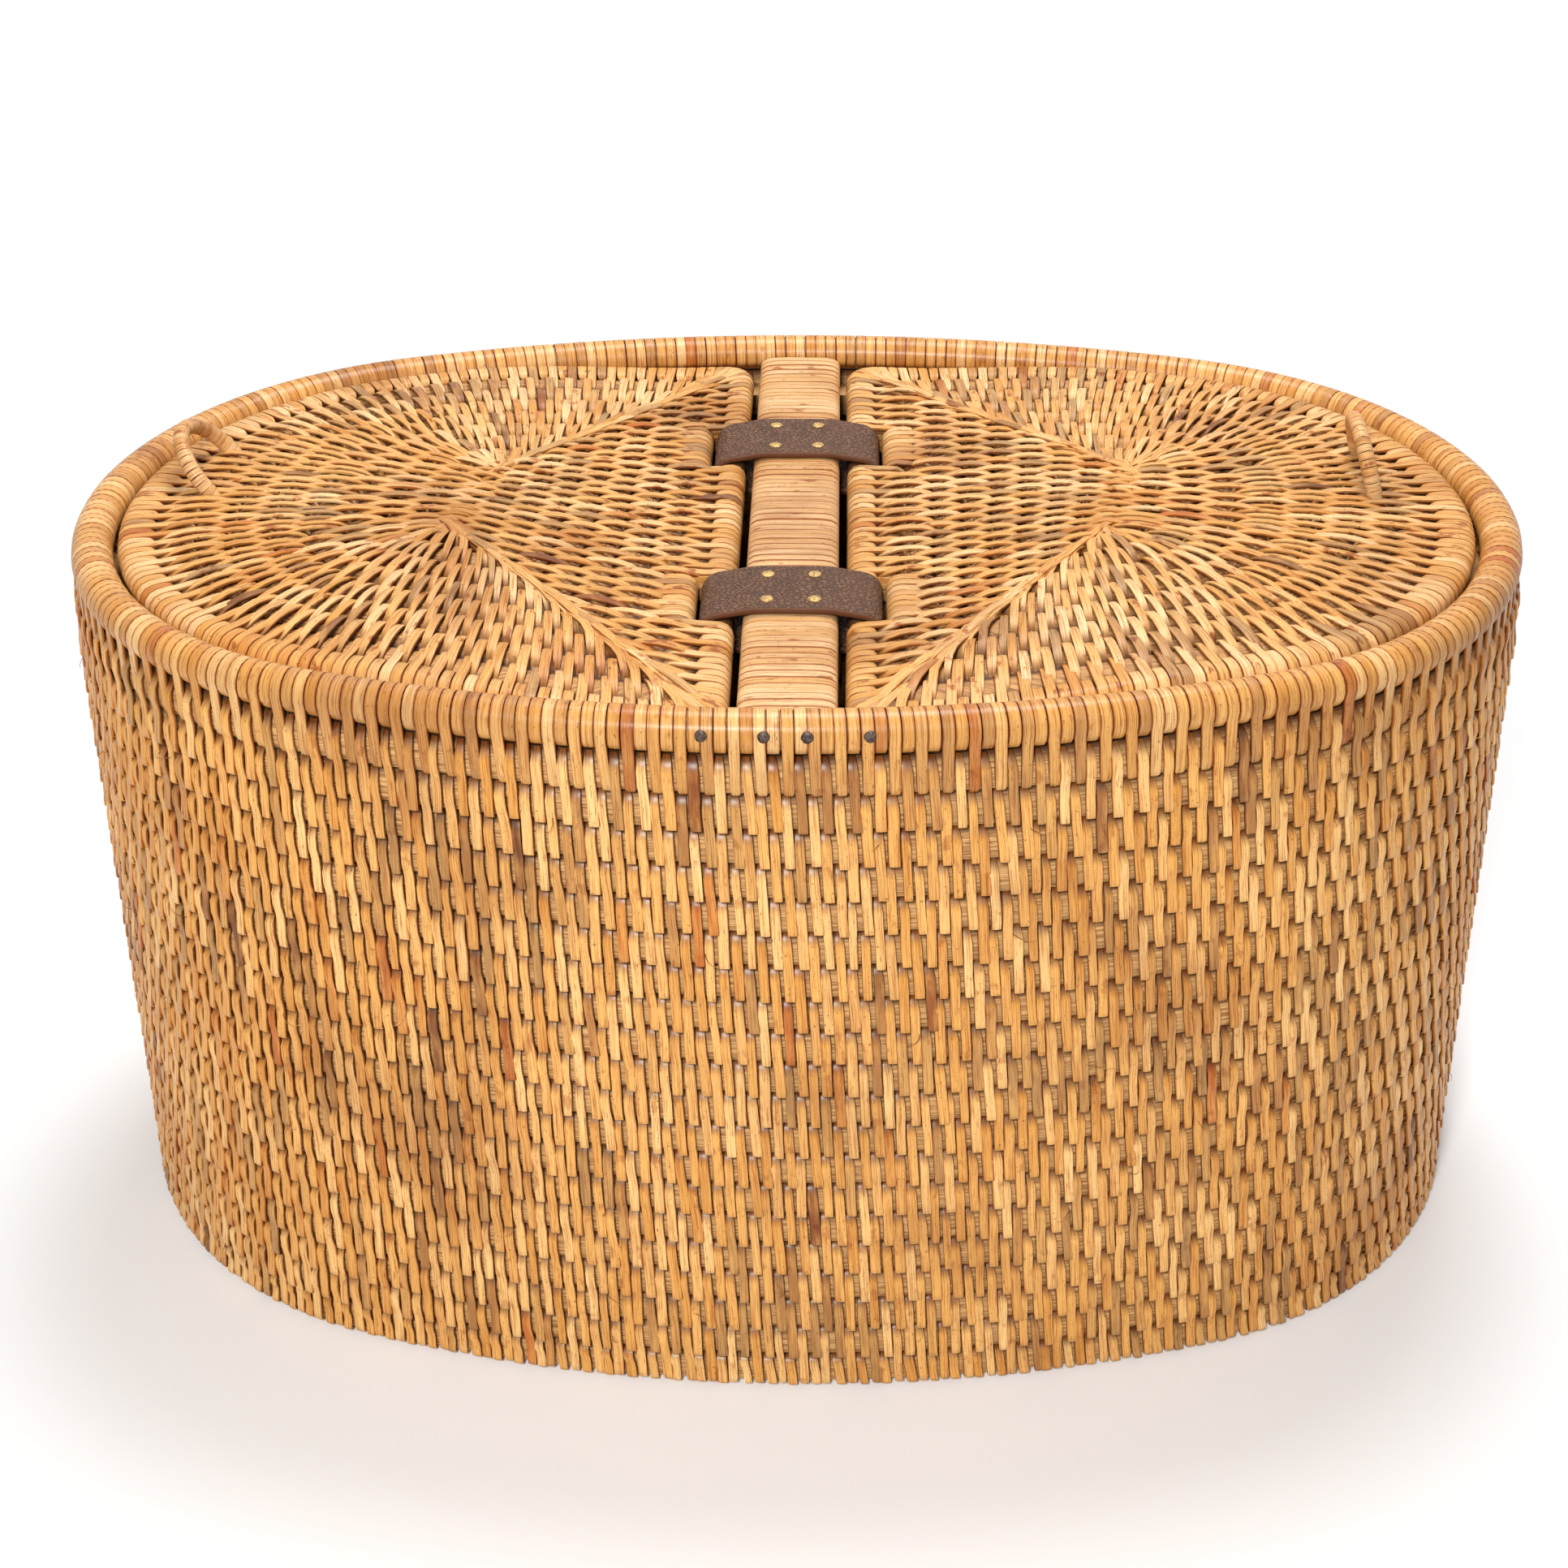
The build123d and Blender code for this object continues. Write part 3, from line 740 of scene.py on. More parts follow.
class Coil:
    """A flat coiled panel: rows that turn round a straight seam, each a shrunk copy of the edge.

    s is 1 at the edge and 0 at the seam, t is the share of the way round the edge.
    """

    def __init__(self, edge, seam, rows, dome=0.0, samples=1400):
        edge = np.vstack([edge, edge[:1]])
        self.length = travelled(edge)[-1]
        self.edge = resampled(edge, np.linspace(0, self.length, samples, endpoint=False))
        self.seam = seam(self.edge)
        self.rows, self.dome, self.samples = rows, dome, samples

    def look_up(self, table, t):
        place = (np.asarray(t) % 1.0) * self.samples
        low = np.floor(place).astype(int) % self.samples
        share = (place - np.floor(place))[..., None]
        return table[low] * (1 - share) + table[(low + 1) % self.samples] * share

    def at(self, s, t):
        """Plan points for s and t."""
        seam, edge = self.look_up(self.seam, t), self.look_up(self.edge, t)
        return seam + np.asarray(s)[..., None] * (edge - seam)

    def reach(self, t):
        """Distance from the seam to the edge."""
        return np.linalg.norm(self.look_up(self.edge - self.seam, t), axis=-1)

    def trace(self, t, stations, square=0.8):
        """Follow strips inwards from s=stations[0], nearly square to the rows: t at each station."""
        stations = np.asarray(stations, float)
        if stations.ndim == 1:
            stations = np.broadcast_to(stations, (len(t), len(stations)))
        steps = [t]
        t = np.array(t, float)
        for index in range(1, stations.shape[1]):
            part = (stations[:, index] - stations[:, index - 1]) / 2
            for half in (0, 1):
                s = np.maximum(stations[:, index - 1] + part * half, 0.06)
                ahead, behind = self.at(s, t + 0.002), self.at(s, t - 0.002)
                along = (ahead - behind) / 0.004
                speed = np.maximum(np.linalg.norm(along, axis=-1), 0.25 * self.length * s)
                radial = self.look_up(self.edge - self.seam, t)
                slip = np.sum(radial * along, axis=-1) / speed**2
                t = t - square * np.clip(slip, -0.6, 0.6) * part
            steps.append(t)
        return np.stack(steps, axis=1)

    def columns(self):
        """Where the strips of each row start: each row's strips start between the last row's."""
        count = int(round(self.length / LID_PITCH))
        t = (np.arange(count) + 0.5) / count
        starts = [t]
        for row in range(1, self.rows):
            s = 1 - row / self.rows
            middle = np.sort(self.trace(t, [s + 1 / self.rows, s])[:, 1])
            between = (middle + np.roll(middle, -1) + (np.arange(len(middle)) == len(middle) - 1)) / 2
            place = self.at(np.full(len(between), s), between)
            kept, last = [], None
            for index, point in enumerate(place):
                if last is None or np.linalg.norm(point - last) > CROWDED * LID_PITCH:
                    kept.append(index)
                    last = point
            t = np.sort(between[kept] % 1.0)
            starts.append(t)
        return starts


def coil_core(name, coil, level, rise, edge_radius, turn=1):
    """The coiled core under the stitches: ribs on both faces and a round edge."""
    profile = []
    for row in range(coil.rows, 0, -1):
        for share, height in ((0.98, 0.55), (0.72, 0.9), (0.4, 1.0), (0.12, 0.75)):
            profile.append(((coil.rows - row + 1 - share) / coil.rows, 0.0, height * rise))
    profile = [p for p in profile if p[0] < 1 - 0.9 / coil.rows]
    for angle in (80, 45, 10):
        swing = math.radians(angle)
        profile.append((1.0, edge_radius * (1 - math.cos(swing)), edge_radius * math.sin(swing)))
    profile = [(max(s, 0.012), inset, height) for s, inset, height in profile]
    table = np.array(profile + [(s, inset, -height) for s, inset, height in profile[::-1]])
    last = len(table) + 1
    deselect()
    bpy.ops.mesh.primitive_uv_sphere_add(segments=300, ring_count=last, radius=1)
    piece = named(name)
    raw = corners_of(piece)
    ring = np.round(np.arccos(np.clip(raw[:, 2], -1, 1)) / math.pi * last).astype(int)
    t = (np.arctan2(raw[:, 1], raw[:, 0]) / (2 * math.pi)) % 1.0
    share, inset, height = table[np.clip(ring - 1, 0, last - 2)].T
    rim = share > 0.999
    reach = coil.reach(t)
    pole = (ring == 0) | (ring == last)
    s = np.where(pole, 0.0, share - (inset + 1.4 * MM * rim) / reach)
    plan = coil.at(s, np.where(pole, 0.0, t))
    plan[pole] = coil.seam.mean(axis=0)
    place = np.column_stack([plan * turn, level + height + coil.dome * (1 - s**2)])
    # How deep between the ribs each point lies sets the core's painted shade; the round edge gets none
    depth = np.where(rim, 0.0, np.clip(1 - np.abs(height) / rise, 0, 0.45) * 2)
    return reshape(piece, place, np.column_stack([s * reach, t * s * coil.length, depth]))


# Places along a stitch of the lids, its height over the middle of the panel, and its width
ARCH_AT = np.array([0.0, 0.07, 0.2, 0.38, 0.55, 0.72, 0.87, 0.96, 1.0])
ARCH_HEIGHT = np.array([1.2, 3.1, 4.9, 6.0, 6.3, 6.0, 5.0, 3.6, 1.8]) * MM
ARCH_WIDTH = np.array([0.55, 0.8, 0.98, 1.0, 1.0, 0.98, 0.95, 0.8, 0.45])


def coil_stitches(name, coil, starts, level, face, turn=1, first=1, notched=True, slim=0.0):
    """Stitches over two rows each on one face (1 top, -1 underside) of a coiled panel."""
    strips, tones = Strips(), []
    for row in range(first, coil.rows):
        t0 = starts[row] + dice.normal(0, 0.35 * MM / coil.length, len(starts[row]))
        s0 = 1 - row / coil.rows
        s2 = -0.6 / coil.rows if row == coil.rows - 1 else s0 - 2 / coil.rows
        stretch = dice.normal(0, 0.03, len(t0))[:, None]
        s = s0 + (s2 - s0) * ARCH_AT[None, :] * (1 + stretch)
        t = coil.trace(t0, s)
        plan = coil.at(s, t)
        if notched:
            kept = ~in_notch(plan, 1 * MM, 1.5 * MM).any(axis=1)
            plan, s, t0 = plan[kept], s[kept], t0[kept]
        # Where strips crowd together they are pulled narrower
        begin = coil.at(np.full(len(t0), s0), t0)
        before = coil.at(np.full(len(t0), s0), np.roll(t0, 1))
        fit = np.clip(np.linalg.norm(begin - before, axis=1) / LID_PITCH, 0.62, 1.0)
        jitter = dice.normal(0, 0.22 * MM, len(t0))[:, None]
        height = ARCH_HEIGHT[None, :] + jitter + coil.dome * (1 - s**2) * face - slim
        path = np.concatenate([plan * turn, (level + face * height)[:, :, None]], axis=2)
        spread = (LID_PEEL_WIDTH + dice.normal(0, 0.35 * MM, len(t0))) * fit
        strips.add(path, *lying(path, UP * face), ARCH_WIDTH[None, :] * spread[:, None])
        tones.append(tone_runs(len(t0)))
    return strips.lay(stitch, name, np.concatenate(tones), join=np.concatenate)


EDGE_RADIUS = 6.1 * MM       # over the peel round the edge of a lid
NOTCH_EDGE_RADIUS = 6.0 * MM
BEND = np.radians(np.linspace(-90, 90, 7))


def round_edge(over, drop, core, start):
    """Inset and height of strips that run from the underside round an edge and over the top."""
    bend = np.broadcast_to(BEND, over.shape[:-1] + BEND.shape)
    inset = [over[..., ::-1], start - core * np.cos(bend), over]
    height = [-(core + drop[..., ::-1]), core * np.sin(bend), core + drop]
    return np.concatenate(inset, axis=-1), np.concatenate(height, axis=-1)


def facing_out(path, side, middle):
    """Side and normal of strips round an edge, turned so that the normal points out of the edge."""
    normal = unit(np.cross(unit(np.gradient(path, axis=1)), side))
    outward = np.sum(normal[:, middle] * (path[:, middle] - np.mean(path, axis=1)), axis=1)
    sign = np.where(outward < 0, -1, 1)[:, None, None]
    return side * sign, normal * sign


def edge_wraps(name, coil, count, level, turn):
    """Peel wound round the edge, in turn short and long enough to cover the second row."""
    tail = np.array([0.16, 0.4, 0.62, 0.82, 0.94, 1.0])
    t0 = (np.arange(count) + 0.5) / count + dice.normal(0, 0.15 * MM / coil.length, count)
    long_one = np.arange(count) % 2 == 1
    # The strips next to a notch are pushed up against its side
    plan = coil.at(np.full(count, 0.98), t0)
    off = np.abs(plan[:, 1]) - STRAP_Y
    short = NOTCH_HALF + 2.6 * MM - np.abs(off)
    beside = (plan[:, 0] < LID_EDGE_X + 6 * MM) & (short > 0)
    inside = beside & (short >= EDGE_PEEL_WIDTH)
    push = np.where(beside & ~inside, short * np.sign(off) * np.sign(plan[:, 1]), 0)
    # The way round runs from rear to front along the straight edge
    t0, long_one = (t0 - push / coil.length)[~inside], long_one[~inside]
    reach = coil.reach(t0)
    row = reach / coil.rows
    end = np.where(long_one, 2.0 * row, 0.98 * row)
    inner = EDGE_RADIUS + 0.6 * MM
    over = inner + tail[None, :] * (end - inner)[:, None]
    drop_long = np.array([0.0, -0.35, -0.3, -0.5, -1.6, -3.2]) * MM
    drop_short = np.array([0.0, -0.1, -0.3, -0.7, -1.6, -2.8]) * MM
    drop = np.where(long_one[:, None], drop_long[None, :], drop_short[None, :])
    inset, height = round_edge(over, drop, EDGE_RADIUS - PEEL + 0.2 * MM, inner)
    half = len(tail) + len(BEND) // 2
    s = 1 - inset / reach[:, None]
    upper = coil.trace(t0, s[:, half:])
    lower = coil.trace(t0, s[:, half::-1])[:, ::-1]
    t = np.concatenate([lower[:, :-1], upper], axis=1)
    plan = coil.at(s, t)
    z = level + height + coil.dome * (1 - s**2)
    path = np.concatenate([plan * turn, z[:, :, None]], axis=2)
    ahead = coil.at(s, t + 0.001) - coil.at(s, t - 0.001)
    side = unit(np.concatenate([ahead * turn, np.zeros(ahead.shape[:2] + (1,))], axis=2))
    near = np.linalg.norm(coil.at(s, t + 0.5 / count) - coil.at(s, t - 0.5 / count), axis=2)
    span = np.minimum(near * 1.03, EDGE_PEEL_WIDTH)
    tail_zone = np.abs(np.arange(s.shape[1]) - half) > len(BEND) // 2 + 1
    span = np.where(tail_zone[None, :] & long_one[:, None], LID_PEEL_WIDTH, span)
    span[:, [0, -1]] *= 0.5
    span[:, [1, -2]] *= 0.85
    return long_wrap.lay(name, path, *facing_out(path, side, half), span, tone_runs(len(t0)))


# ---- lids

CORNER = 12 * MM
SEAM_LEAN = 7.5 * MM         # the rows spiral, so the seam stands a little askew
LID_DOME = 2.5 * MM
LID_REACH = 114 * MM         # from a lid's straight edge to its seam
END_RISE = 7.0 * MM          # how far the outer end of a lid bows up
CORE_RISE = 4.3 * MM         # half thickness of the core of a lid or of the floor
ROD_RADIUS = 4.9 * MM        # core of a lid's round edge, under its peel


def lid_edge():
    """Outline of the right lid, anticlockwise from the front corner by the crossbar."""
    inset = HALF_LENGTH - LID_END_X - 1.6 * MM
    inner = (oval.points - oval.normals * inset)[:-1]
    corner_x = LID_EDGE_X + CORNER
    right = inner[inner[:, 0] > corner_x]
    right = right[np.argsort(np.arctan2(right[:, 1], right[:, 0] - corner_x))]
    corner_y = right[-1, 1] - CORNER
    swing = np.radians(np.linspace(90, 180, 20))
    rear = np.column_stack([corner_x + CORNER * np.cos(swing), corner_y + CORNER * np.sin(swing)])
    front = rear[::-1] * np.array([1, -1])
    straight = np.linspace(corner_y, -corner_y, 200)[1:-1]
    straight = np.column_stack([np.full(len(straight), LID_EDGE_X), straight])
    return np.vstack([right, rear, straight, front])


def lid_seam(turn):
    """Where on the lid's seam each edge point's line of stitches runs to."""
    def seam(edge):
        by_bar = edge[:, 0] < LID_EDGE_X + CORNER
        swing = np.sin(np.clip(edge[:, 1] / (125 * MM), -1, 1) * math.pi / 2)
        share = np.where(by_bar, np.clip(edge[:, 1] / (160 * MM), -1, 1), swing)
        middle = 3 * MM * turn
        return np.column_stack([SPINE_X + SEAM_LEAN * share, middle + SPINE_HALF * share])
    return seam


def in_notch(points, reach_x, reach_y):
    """Whether plan points lie in the notches that the straps pass through."""
    off = np.abs(np.abs(points[..., 1]) - STRAP_Y)
    return (points[..., 0] < NOTCH_X + reach_x) & (off < NOTCH_HALF + reach_y)


def mitre_strands(name, coil, level, face, turn):
    """Long strips that run from the ends of the seam to the two corners by the crossbar."""
    strips = Strips()
    for end in FRONT, REAR:
        corner = np.array([LID_EDGE_X + 2 * MM, end * (LID_SIDE_Y - 3 * MM)])
        t_corner = np.argmin(np.linalg.norm(coil.edge - corner, axis=1)) / coil.samples
        for index in range(13):
            s = 0.95 - index * 0.068 - ARCH_AT * 0.27
            if s[-1] < -0.03:
                continue
            sway = (1 if index % 2 else -1) * (1.7 + dice.normal(0, 0.3)) * MM
            plan = coil.at(s, np.full(len(s), t_corner))
            heading = unit(np.gradient(plan, axis=0))
            across = np.column_stack([-heading[:, 1], heading[:, 0]])
            plan = plan + across * (sway * (1 - 1.5 * ARCH_AT))[:, None]
            height = ARCH_HEIGHT + (0.45 + dice.normal(0, 0.2)) * MM + coil.dome * (1 - s**2) * face
            path = np.column_stack([plan * turn, level + face * height])
            strips.add(path, *lying(path, UP * face), ARCH_WIDTH * (3.9 + dice.normal(0, 0.4)) * MM)
    return strips.lay(stitch, name, dice.random(len(strips.parts)))


def notch_wraps(name, level, turn):
    """Peel round the recessed edge of each notch."""
    place = np.tile(np.arange(-4, 5), 2)[:, None]
    middle = np.repeat([-STRAP_Y, STRAP_Y], 9)[:, None]
    tail = np.array([0.15, 0.4, 0.65, 0.85, 0.95, 1.0])
    sink = np.array([0, -0.2, -0.3, -0.6, -1.6, -3]) * MM
    over = tail * np.where(place % 2 == 1, 15, 8) * MM
    core = NOTCH_EDGE_RADIUS - PEEL + 0.2 * MM
    inset, height = round_edge(over, np.broadcast_to(sink, over.shape), core, 0)
    x = inset + NOTCH_X + NOTCH_EDGE_RADIUS
    # The outer strips curl round the corners of the notch
    pull = np.maximum(np.abs(place) - 3, 0) * np.sign(place) * 1.2 * MM
    y = middle + place * 4.6 * MM + pull * np.concatenate([np.zeros(13), tail])
    y = y + dice.normal(0, 0.15, (len(place), 1)) * MM
    s = 1 - (x - LID_EDGE_X) / LID_REACH
    path = np.stack([x * turn, y * turn, level + height + LID_DOME * (1 - s**2)], axis=2)
    side = np.broadcast_to([0.0, 1.0, 0.0], path.shape)
    width = np.full(x.shape, NOTCH_PEEL_WIDTH)
    width[:, [0, -1]] *= 0.5
    return long_wrap.lay(name, path, *facing_out(path, side, 9), width, dice.random(len(path)))


def notch_sides(name, level, turn):
    """Peel along the two side walls of each notch."""
    stations = np.linspace(0, 1, stitch.count)
    ones = np.ones((stitch.count, 1))
    strips = Strips()
    for middle in (-STRAP_Y, STRAP_Y):
        for wall in (-1, 1):
            y = middle + wall * (NOTCH_HALF + 0.5 * MM)
            for layer in (-1.5, -0.5, 0.5, 1.5):
                x = LID_EDGE_X + 3.5 * MM + stations * (NOTCH_X - LID_EDGE_X + 1 * MM)
                z = level + layer * 2.5 * MM + 0.5 * MM * np.sin(stations * math.pi) * np.sign(layer)
                path = np.column_stack([x * turn, ones * y * turn, z])
                width = np.full(len(x), 2.7 * MM) + dice.normal(0, 0.1 * MM)
                strips.add(path, ones * UP, ones * np.array([0.0, -wall * turn, 0.0]), width)
    return strips.lay(stitch, name, dice.random(len(strips.parts)), 0.7 * MM)


def raise_end(piece, rise=END_RISE):
    """The lids bow upwards towards the ends of the basket."""
    place = np.empty(3 * len(piece.data.vertices), np.float32)
    piece.data.vertices.foreach_get("co", place)
    place = place.reshape(-1, 3)
    share = np.clip((np.abs(place[:, 0]) - 45 * MM) / (115 * MM), 0, 1)
    place[:, 2] += rise * share**2 * (3 - 2 * share)
    piece.data.vertices.foreach_set("co", place.ravel())
    piece.data.update()
    return piece


def cut_notch(core, middle, turn):
    """Cut the notch that a strap passes through; the cut faces count as deep in a groove, so they get the
    core's full painted shade.
    """
    deselect()
    centre = ((NOTCH_X - 20 * MM) * turn, middle, LID_MIDDLE)
    bpy.ops.mesh.primitive_cube_add(size=1, location=centre)
    cutter = bpy.context.active_object
    cutter.dimensions = (45 * MM, 2 * NOTCH_HALF + 1.5 * MM, 60 * MM)
    bpy.context.view_layer.update()
    settle(cutter)
    give_grain(cutter, [(0, 0, 1)] * len(cutter.data.vertices))
    activate(core)
    cut = core.modifiers.new("notch", "BOOLEAN")
    cut.operation = "DIFFERENCE"
    cut.object = cutter
    bpy.ops.object.modifier_apply(modifier=cut.name)
    bpy.data.objects.remove(cutter)


def make_lid(side, turn):
    body = f"lid_{side}"
    coil = Coil(lid_edge(), lid_seam(turn), LID_ROWS, LID_DOME)
    core = coil_core(f"{body}_core", coil, LID_MIDDLE, CORE_RISE, ROD_RADIUS, turn)
    for middle in (-STRAP_Y, STRAP_Y):
        cut_notch(core, middle, turn)
    dress(raise_end(core), lid_core, body)
    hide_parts(f"{body}_panel")

    deselect()
    bpy.ops.mesh.primitive_cylinder_add(
        vertices=16, radius=ROD_RADIUS, depth=rod_high.y - rod_low.y,
        location=(HINGE_X * turn, 0, LID_MIDDLE), rotation=(math.pi / 2, 0, 0),
    )
    rod = named(f"{body}_rod")
    settle(rod)
    # The rod is marked fairly deep in a groove, so the core's material paints it darker with shade
    give_grain(rod, [(v.co.z * 3, v.co.y, 0.7) for v in rod.data.vertices])
    dress(rod, lid_core, body)
    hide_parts(f"{body}_hinge_rod")

    starts = coil.columns()
    pieces = []
    for face, where in ((1, "top"), (-1, "under")):
        pieces.append(coil_stitches(f"{body}_stitches_{where}", coil, starts, LID_MIDDLE, face, turn))
        pieces.append(mitre_strands(f"{body}_mitres_{where}", coil, LID_MIDDLE, face, turn))
    pieces.append(edge_wraps(f"{body}_edge", coil, 2 * len(starts[0]), LID_MIDDLE, turn))
    for piece in pieces:
        raise_end(piece)
    pieces.append(notch_wraps(f"{body}_notches", LID_MIDDLE, turn))
    pieces.append(notch_sides(f"{body}_notch_sides", LID_MIDDLE, turn))
    for piece in pieces:
        dress(piece, lid_peel, body)


long_wrap = Strand(19, shoulder=0.88)
make_lid("right", 1)
make_lid("left", -1)


# ---- floor mat

floor_half = (floor_high - floor_low) / 2


def floor_seam(edge):
    """Where on the straight seam each edge point's line of stitches runs to."""
    reach = floor_half.x - floor_half.y
    share = np.clip(edge[:, 0] / (reach + 70 * MM), -1, 1)
    return np.column_stack([reach * np.sin(share * math.pi / 2), np.zeros(len(edge))])


mat = Coil(Oval(floor_half.x, floor_half.y).points[:-1], floor_seam, 13)
mat_level = (floor_high.z + floor_low.z) / 2 + 0.3 * MM
mat_core = coil_core("base_core", mat, mat_level, CORE_RISE, CORE_RISE)
dress(mat_core, lid_core, "basket")
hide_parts("base_panel")
mat_starts = mat.columns()
for face, where in ((1, "top"), (-1, "under")):
    stitches = coil_stitches(
        f"base_stitches_{where}", mat, mat_starts, mat_level, face, first=0, notched=False, slim=1.9 * MM
    )
    dress(stitches, peel, "basket")


# ---- crossbar, straps, handles

def ring_wraps(name, strand, centres, u, v, radius_u, radius_v, width, power=2, lap=1.04):
    """Closed rings of peel round a rod or bar.

    u and v span the section. It is round at power 2, and a rounded rectangle at a higher one.
    """
    angle = np.arange(strand.count) / strand.count * 2 * math.pi
    cx, cy = np.cos(angle), np.sin(angle)
    size = (np.abs(cx) ** power + np.abs(cy) ** power) ** (-1 / power)
    ring_u, ring_v = cx * size * radius_u, cy * size * radius_v
    out = np.stack([
        np.sign(cx) * np.abs(ring_u / radius_u) ** (power - 1) / radius_u,
        np.sign(cy) * np.abs(ring_v / radius_v) ** (power - 1) / radius_v,
    ])
    out_u, out_v = out / np.linalg.norm(out, axis=0)
    u, v = u[:, None, :], v[:, None, :]
    path = centres[:, None, :] + u * ring_u[None, :, None] + v * ring_v[None, :, None]
    normal = unit(u * out_u[None, :, None] + v * out_v[None, :, None])
    side = np.broadcast_to(unit(np.cross(u, v)), path.shape)
    span = np.broadcast_to(width[:, None] * lap, path.shape[:2])
    return strand.lay(name, path, side, normal, span, tone_runs(len(centres), 2, 7))


ring_strand = Strand(40, closed=True, shoulder=0.97)
small_ring = Strand(14, closed=True, shoulder=0.9)

bar_half = (bar_high - bar_low) / 2
bar_middle = (bar_high.z + bar_low.z) / 2
bar_count = 76
pitch = np.clip(1 + dice.normal(0, 0.16, bar_count), 0.6, 1.4)
pitch *= 2 * bar_half.y / pitch.sum()
places = -bar_half.y + np.cumsum(pitch) - pitch / 2
bar_centres = np.column_stack([np.zeros(bar_count), places, np.full(bar_count, bar_middle)])
bar_centres[:, 2] += dice.normal(0, 0.05 * MM, bar_count)
bar_u = np.tile([1.0, 0.0, 0.0], (bar_count, 1))
bar_v = np.tile([0.0, 0.0, 1.0], (bar_count, 1))
bar_wraps = ring_wraps(
    "crossbar_peel", ring_strand, bar_centres, bar_u, bar_v,
    bar_half.x - PEEL, bar_half.z - PEEL, pitch, power=5,
)
dress(bar_wraps, bar_peel, "basket")
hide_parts("crossbar_wrap")


def strap_line():
    """The closed loop of a strap's middle layer, in X and Z, stretched round rods and bar."""
    half = 1.4 * MM
    rod_radius = 6.3 * MM + half
    corner_x, corner_z = bar_half.x - 4.5 * MM, bar_high.z - 4.5 * MM
    circles = [
        (HINGE_X, LID_MIDDLE, rod_radius),
        (-HINGE_X, LID_MIDDLE, rod_radius),
        (corner_x, corner_z, 4.8 * MM + half),
        (-corner_x, corner_z, 4.8 * MM + half),
    ]
    angle = np.linspace(0, 2 * math.pi, 721)[:-1]
    rays = np.column_stack([np.cos(angle), np.sin(angle)])
    support = np.max([rays @ circle[:2] + circle[2] for circle in circles], axis=0)
    slope = np.gradient(support, angle)
    points = rays * support[:, None] + np.column_stack([-rays[:, 1], rays[:, 0]]) * slope[:, None]
    return np.vstack([points, points[:1]])


# A strap's section, in mm: (across, outwards)
STRAP_SECTION = (
    (-19, 0.9), (-18.6, 1.3), (-17.6, 1.45), (-9, 1.4), (0, 1.4), (9, 1.4), (17.6, 1.45),
    (18.6, 1.3), (19, 0.9), (19, -1.0), (18.4, -1.4), (0, -1.4), (-18.4, -1.4), (-19, -1.0),
)


def make_strap(where, y_middle):
    closed = strap_line()
    stations = 120
    reach = np.linspace(0, travelled(closed)[-1], stations, endpoint=False)
    line = resampled(closed, reach)
    line = (np.roll(line, 1, axis=0) + 2 * line + np.roll(line, -1, axis=0)) / 4
    tangent = unit(np.roll(line, -1, axis=0) - np.roll(line, 1, axis=0))
    outward = np.column_stack([tangent[:, 1], -tangent[:, 0]])
    piece, share, index = torus(stations, len(STRAP_SECTION))
    named(f"strap_leather_{where}")
    k = np.round(share * stations).astype(int) % stations
    across, out = (np.array(STRAP_SECTION) * MM)[index].T
    place = line[k] + outward[k] * out[:, None]
    place = np.column_stack([place[:, 0], y_middle + across, place[:, 1]])
    reshape(piece, place, np.column_stack([across, reach[k], out / (1.5 * MM)]))
    dress(piece, leather_finish(f"leather_{where}", y_middle), "basket")
    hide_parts(f"strap_{where}")


make_strap("front", -STRAP_Y)
make_strap("rear", STRAP_Y)


def domed_heads(name, places, radius, height, material, nodes):
    """Round hammered heads: places are (centre, outward direction)."""
    heads = []
    for index, (centre, outward) in enumerate(places):
        deselect()
        bpy.ops.mesh.primitive_uv_sphere_add(segments=18, ring_count=8, radius=1)
        piece = named(f"{name}_{index}")
        for vertex in piece.data.vertices:
            x, y, z = vertex.co
            dent = radius * (1 + 0.04 * math.sin(3 * x + index) * math.cos(4 * y + 2 * index))
            vertex.co = (x * dent, y * dent, z * height)
        turn = Vector(outward).to_track_quat("Z", "Y").to_matrix().to_4x4()
        piece.data.transform(Matrix.Translation(Vector(centre)) @ turn)
        heads.append(piece)
    activate(heads[0])
    for piece in heads:
        piece.select_set(True)
    bpy.ops.object.join()
    joined = named(name)
    bpy.ops.object.shade_smooth()
    deselect()
    dress(joined, material, "basket")
    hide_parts(nodes)


TACK_X, TACK_Y = 9.5 * MM, 11 * MM       # from the middle of a strap
NAIL_X = (-31, -8, 8, 31)                # mm along the rim from its middle
NAIL_TILT = math.radians(14)

for where, side, rim_middle in (("front", FRONT, 0.75), ("rear", REAR, 0.25)):
    places = []
    for x in (-TACK_X, TACK_X):
        for y in (-TACK_Y, TACK_Y):
            places.append(((x, side * STRAP_Y + y, STRAP_TOP + 0.1 * MM), (0, 0, 1)))
    name = f"tacks_{where}"
    domed_heads(name, places, 2.8 * MM, 0.55 * MM, brass, f"strap_{name}")

    direction = (0, side * math.cos(NAIL_TILT), math.sin(NAIL_TILT))
    places = []
    for x in NAIL_X:
        point, normal = oval.at(rim_middle - side * x * MM / oval.length)
        centre = point - normal * RIM_RADIUS + UP * RIM_LEVEL
        centre = centre + np.array([normal[0], direction[1], direction[2]]) * (RIM_RADIUS + 0.2 * MM)
        places.append((centre, direction))
    name = f"nails_{where}"
    domed_heads(name, places, 2.35 * MM, 0.8 * MM, iron, f"rim_{name}")


HANDLE_X = 248 * MM
HANDLE_RADIUS = 3.4 * MM
HANDLE_LEG = 6 * MM          # straight part above the lid
HANDLE_TAIL = 5 * MM         # straight part let into the lid
HANDLE_TURNS = 30            # of peel


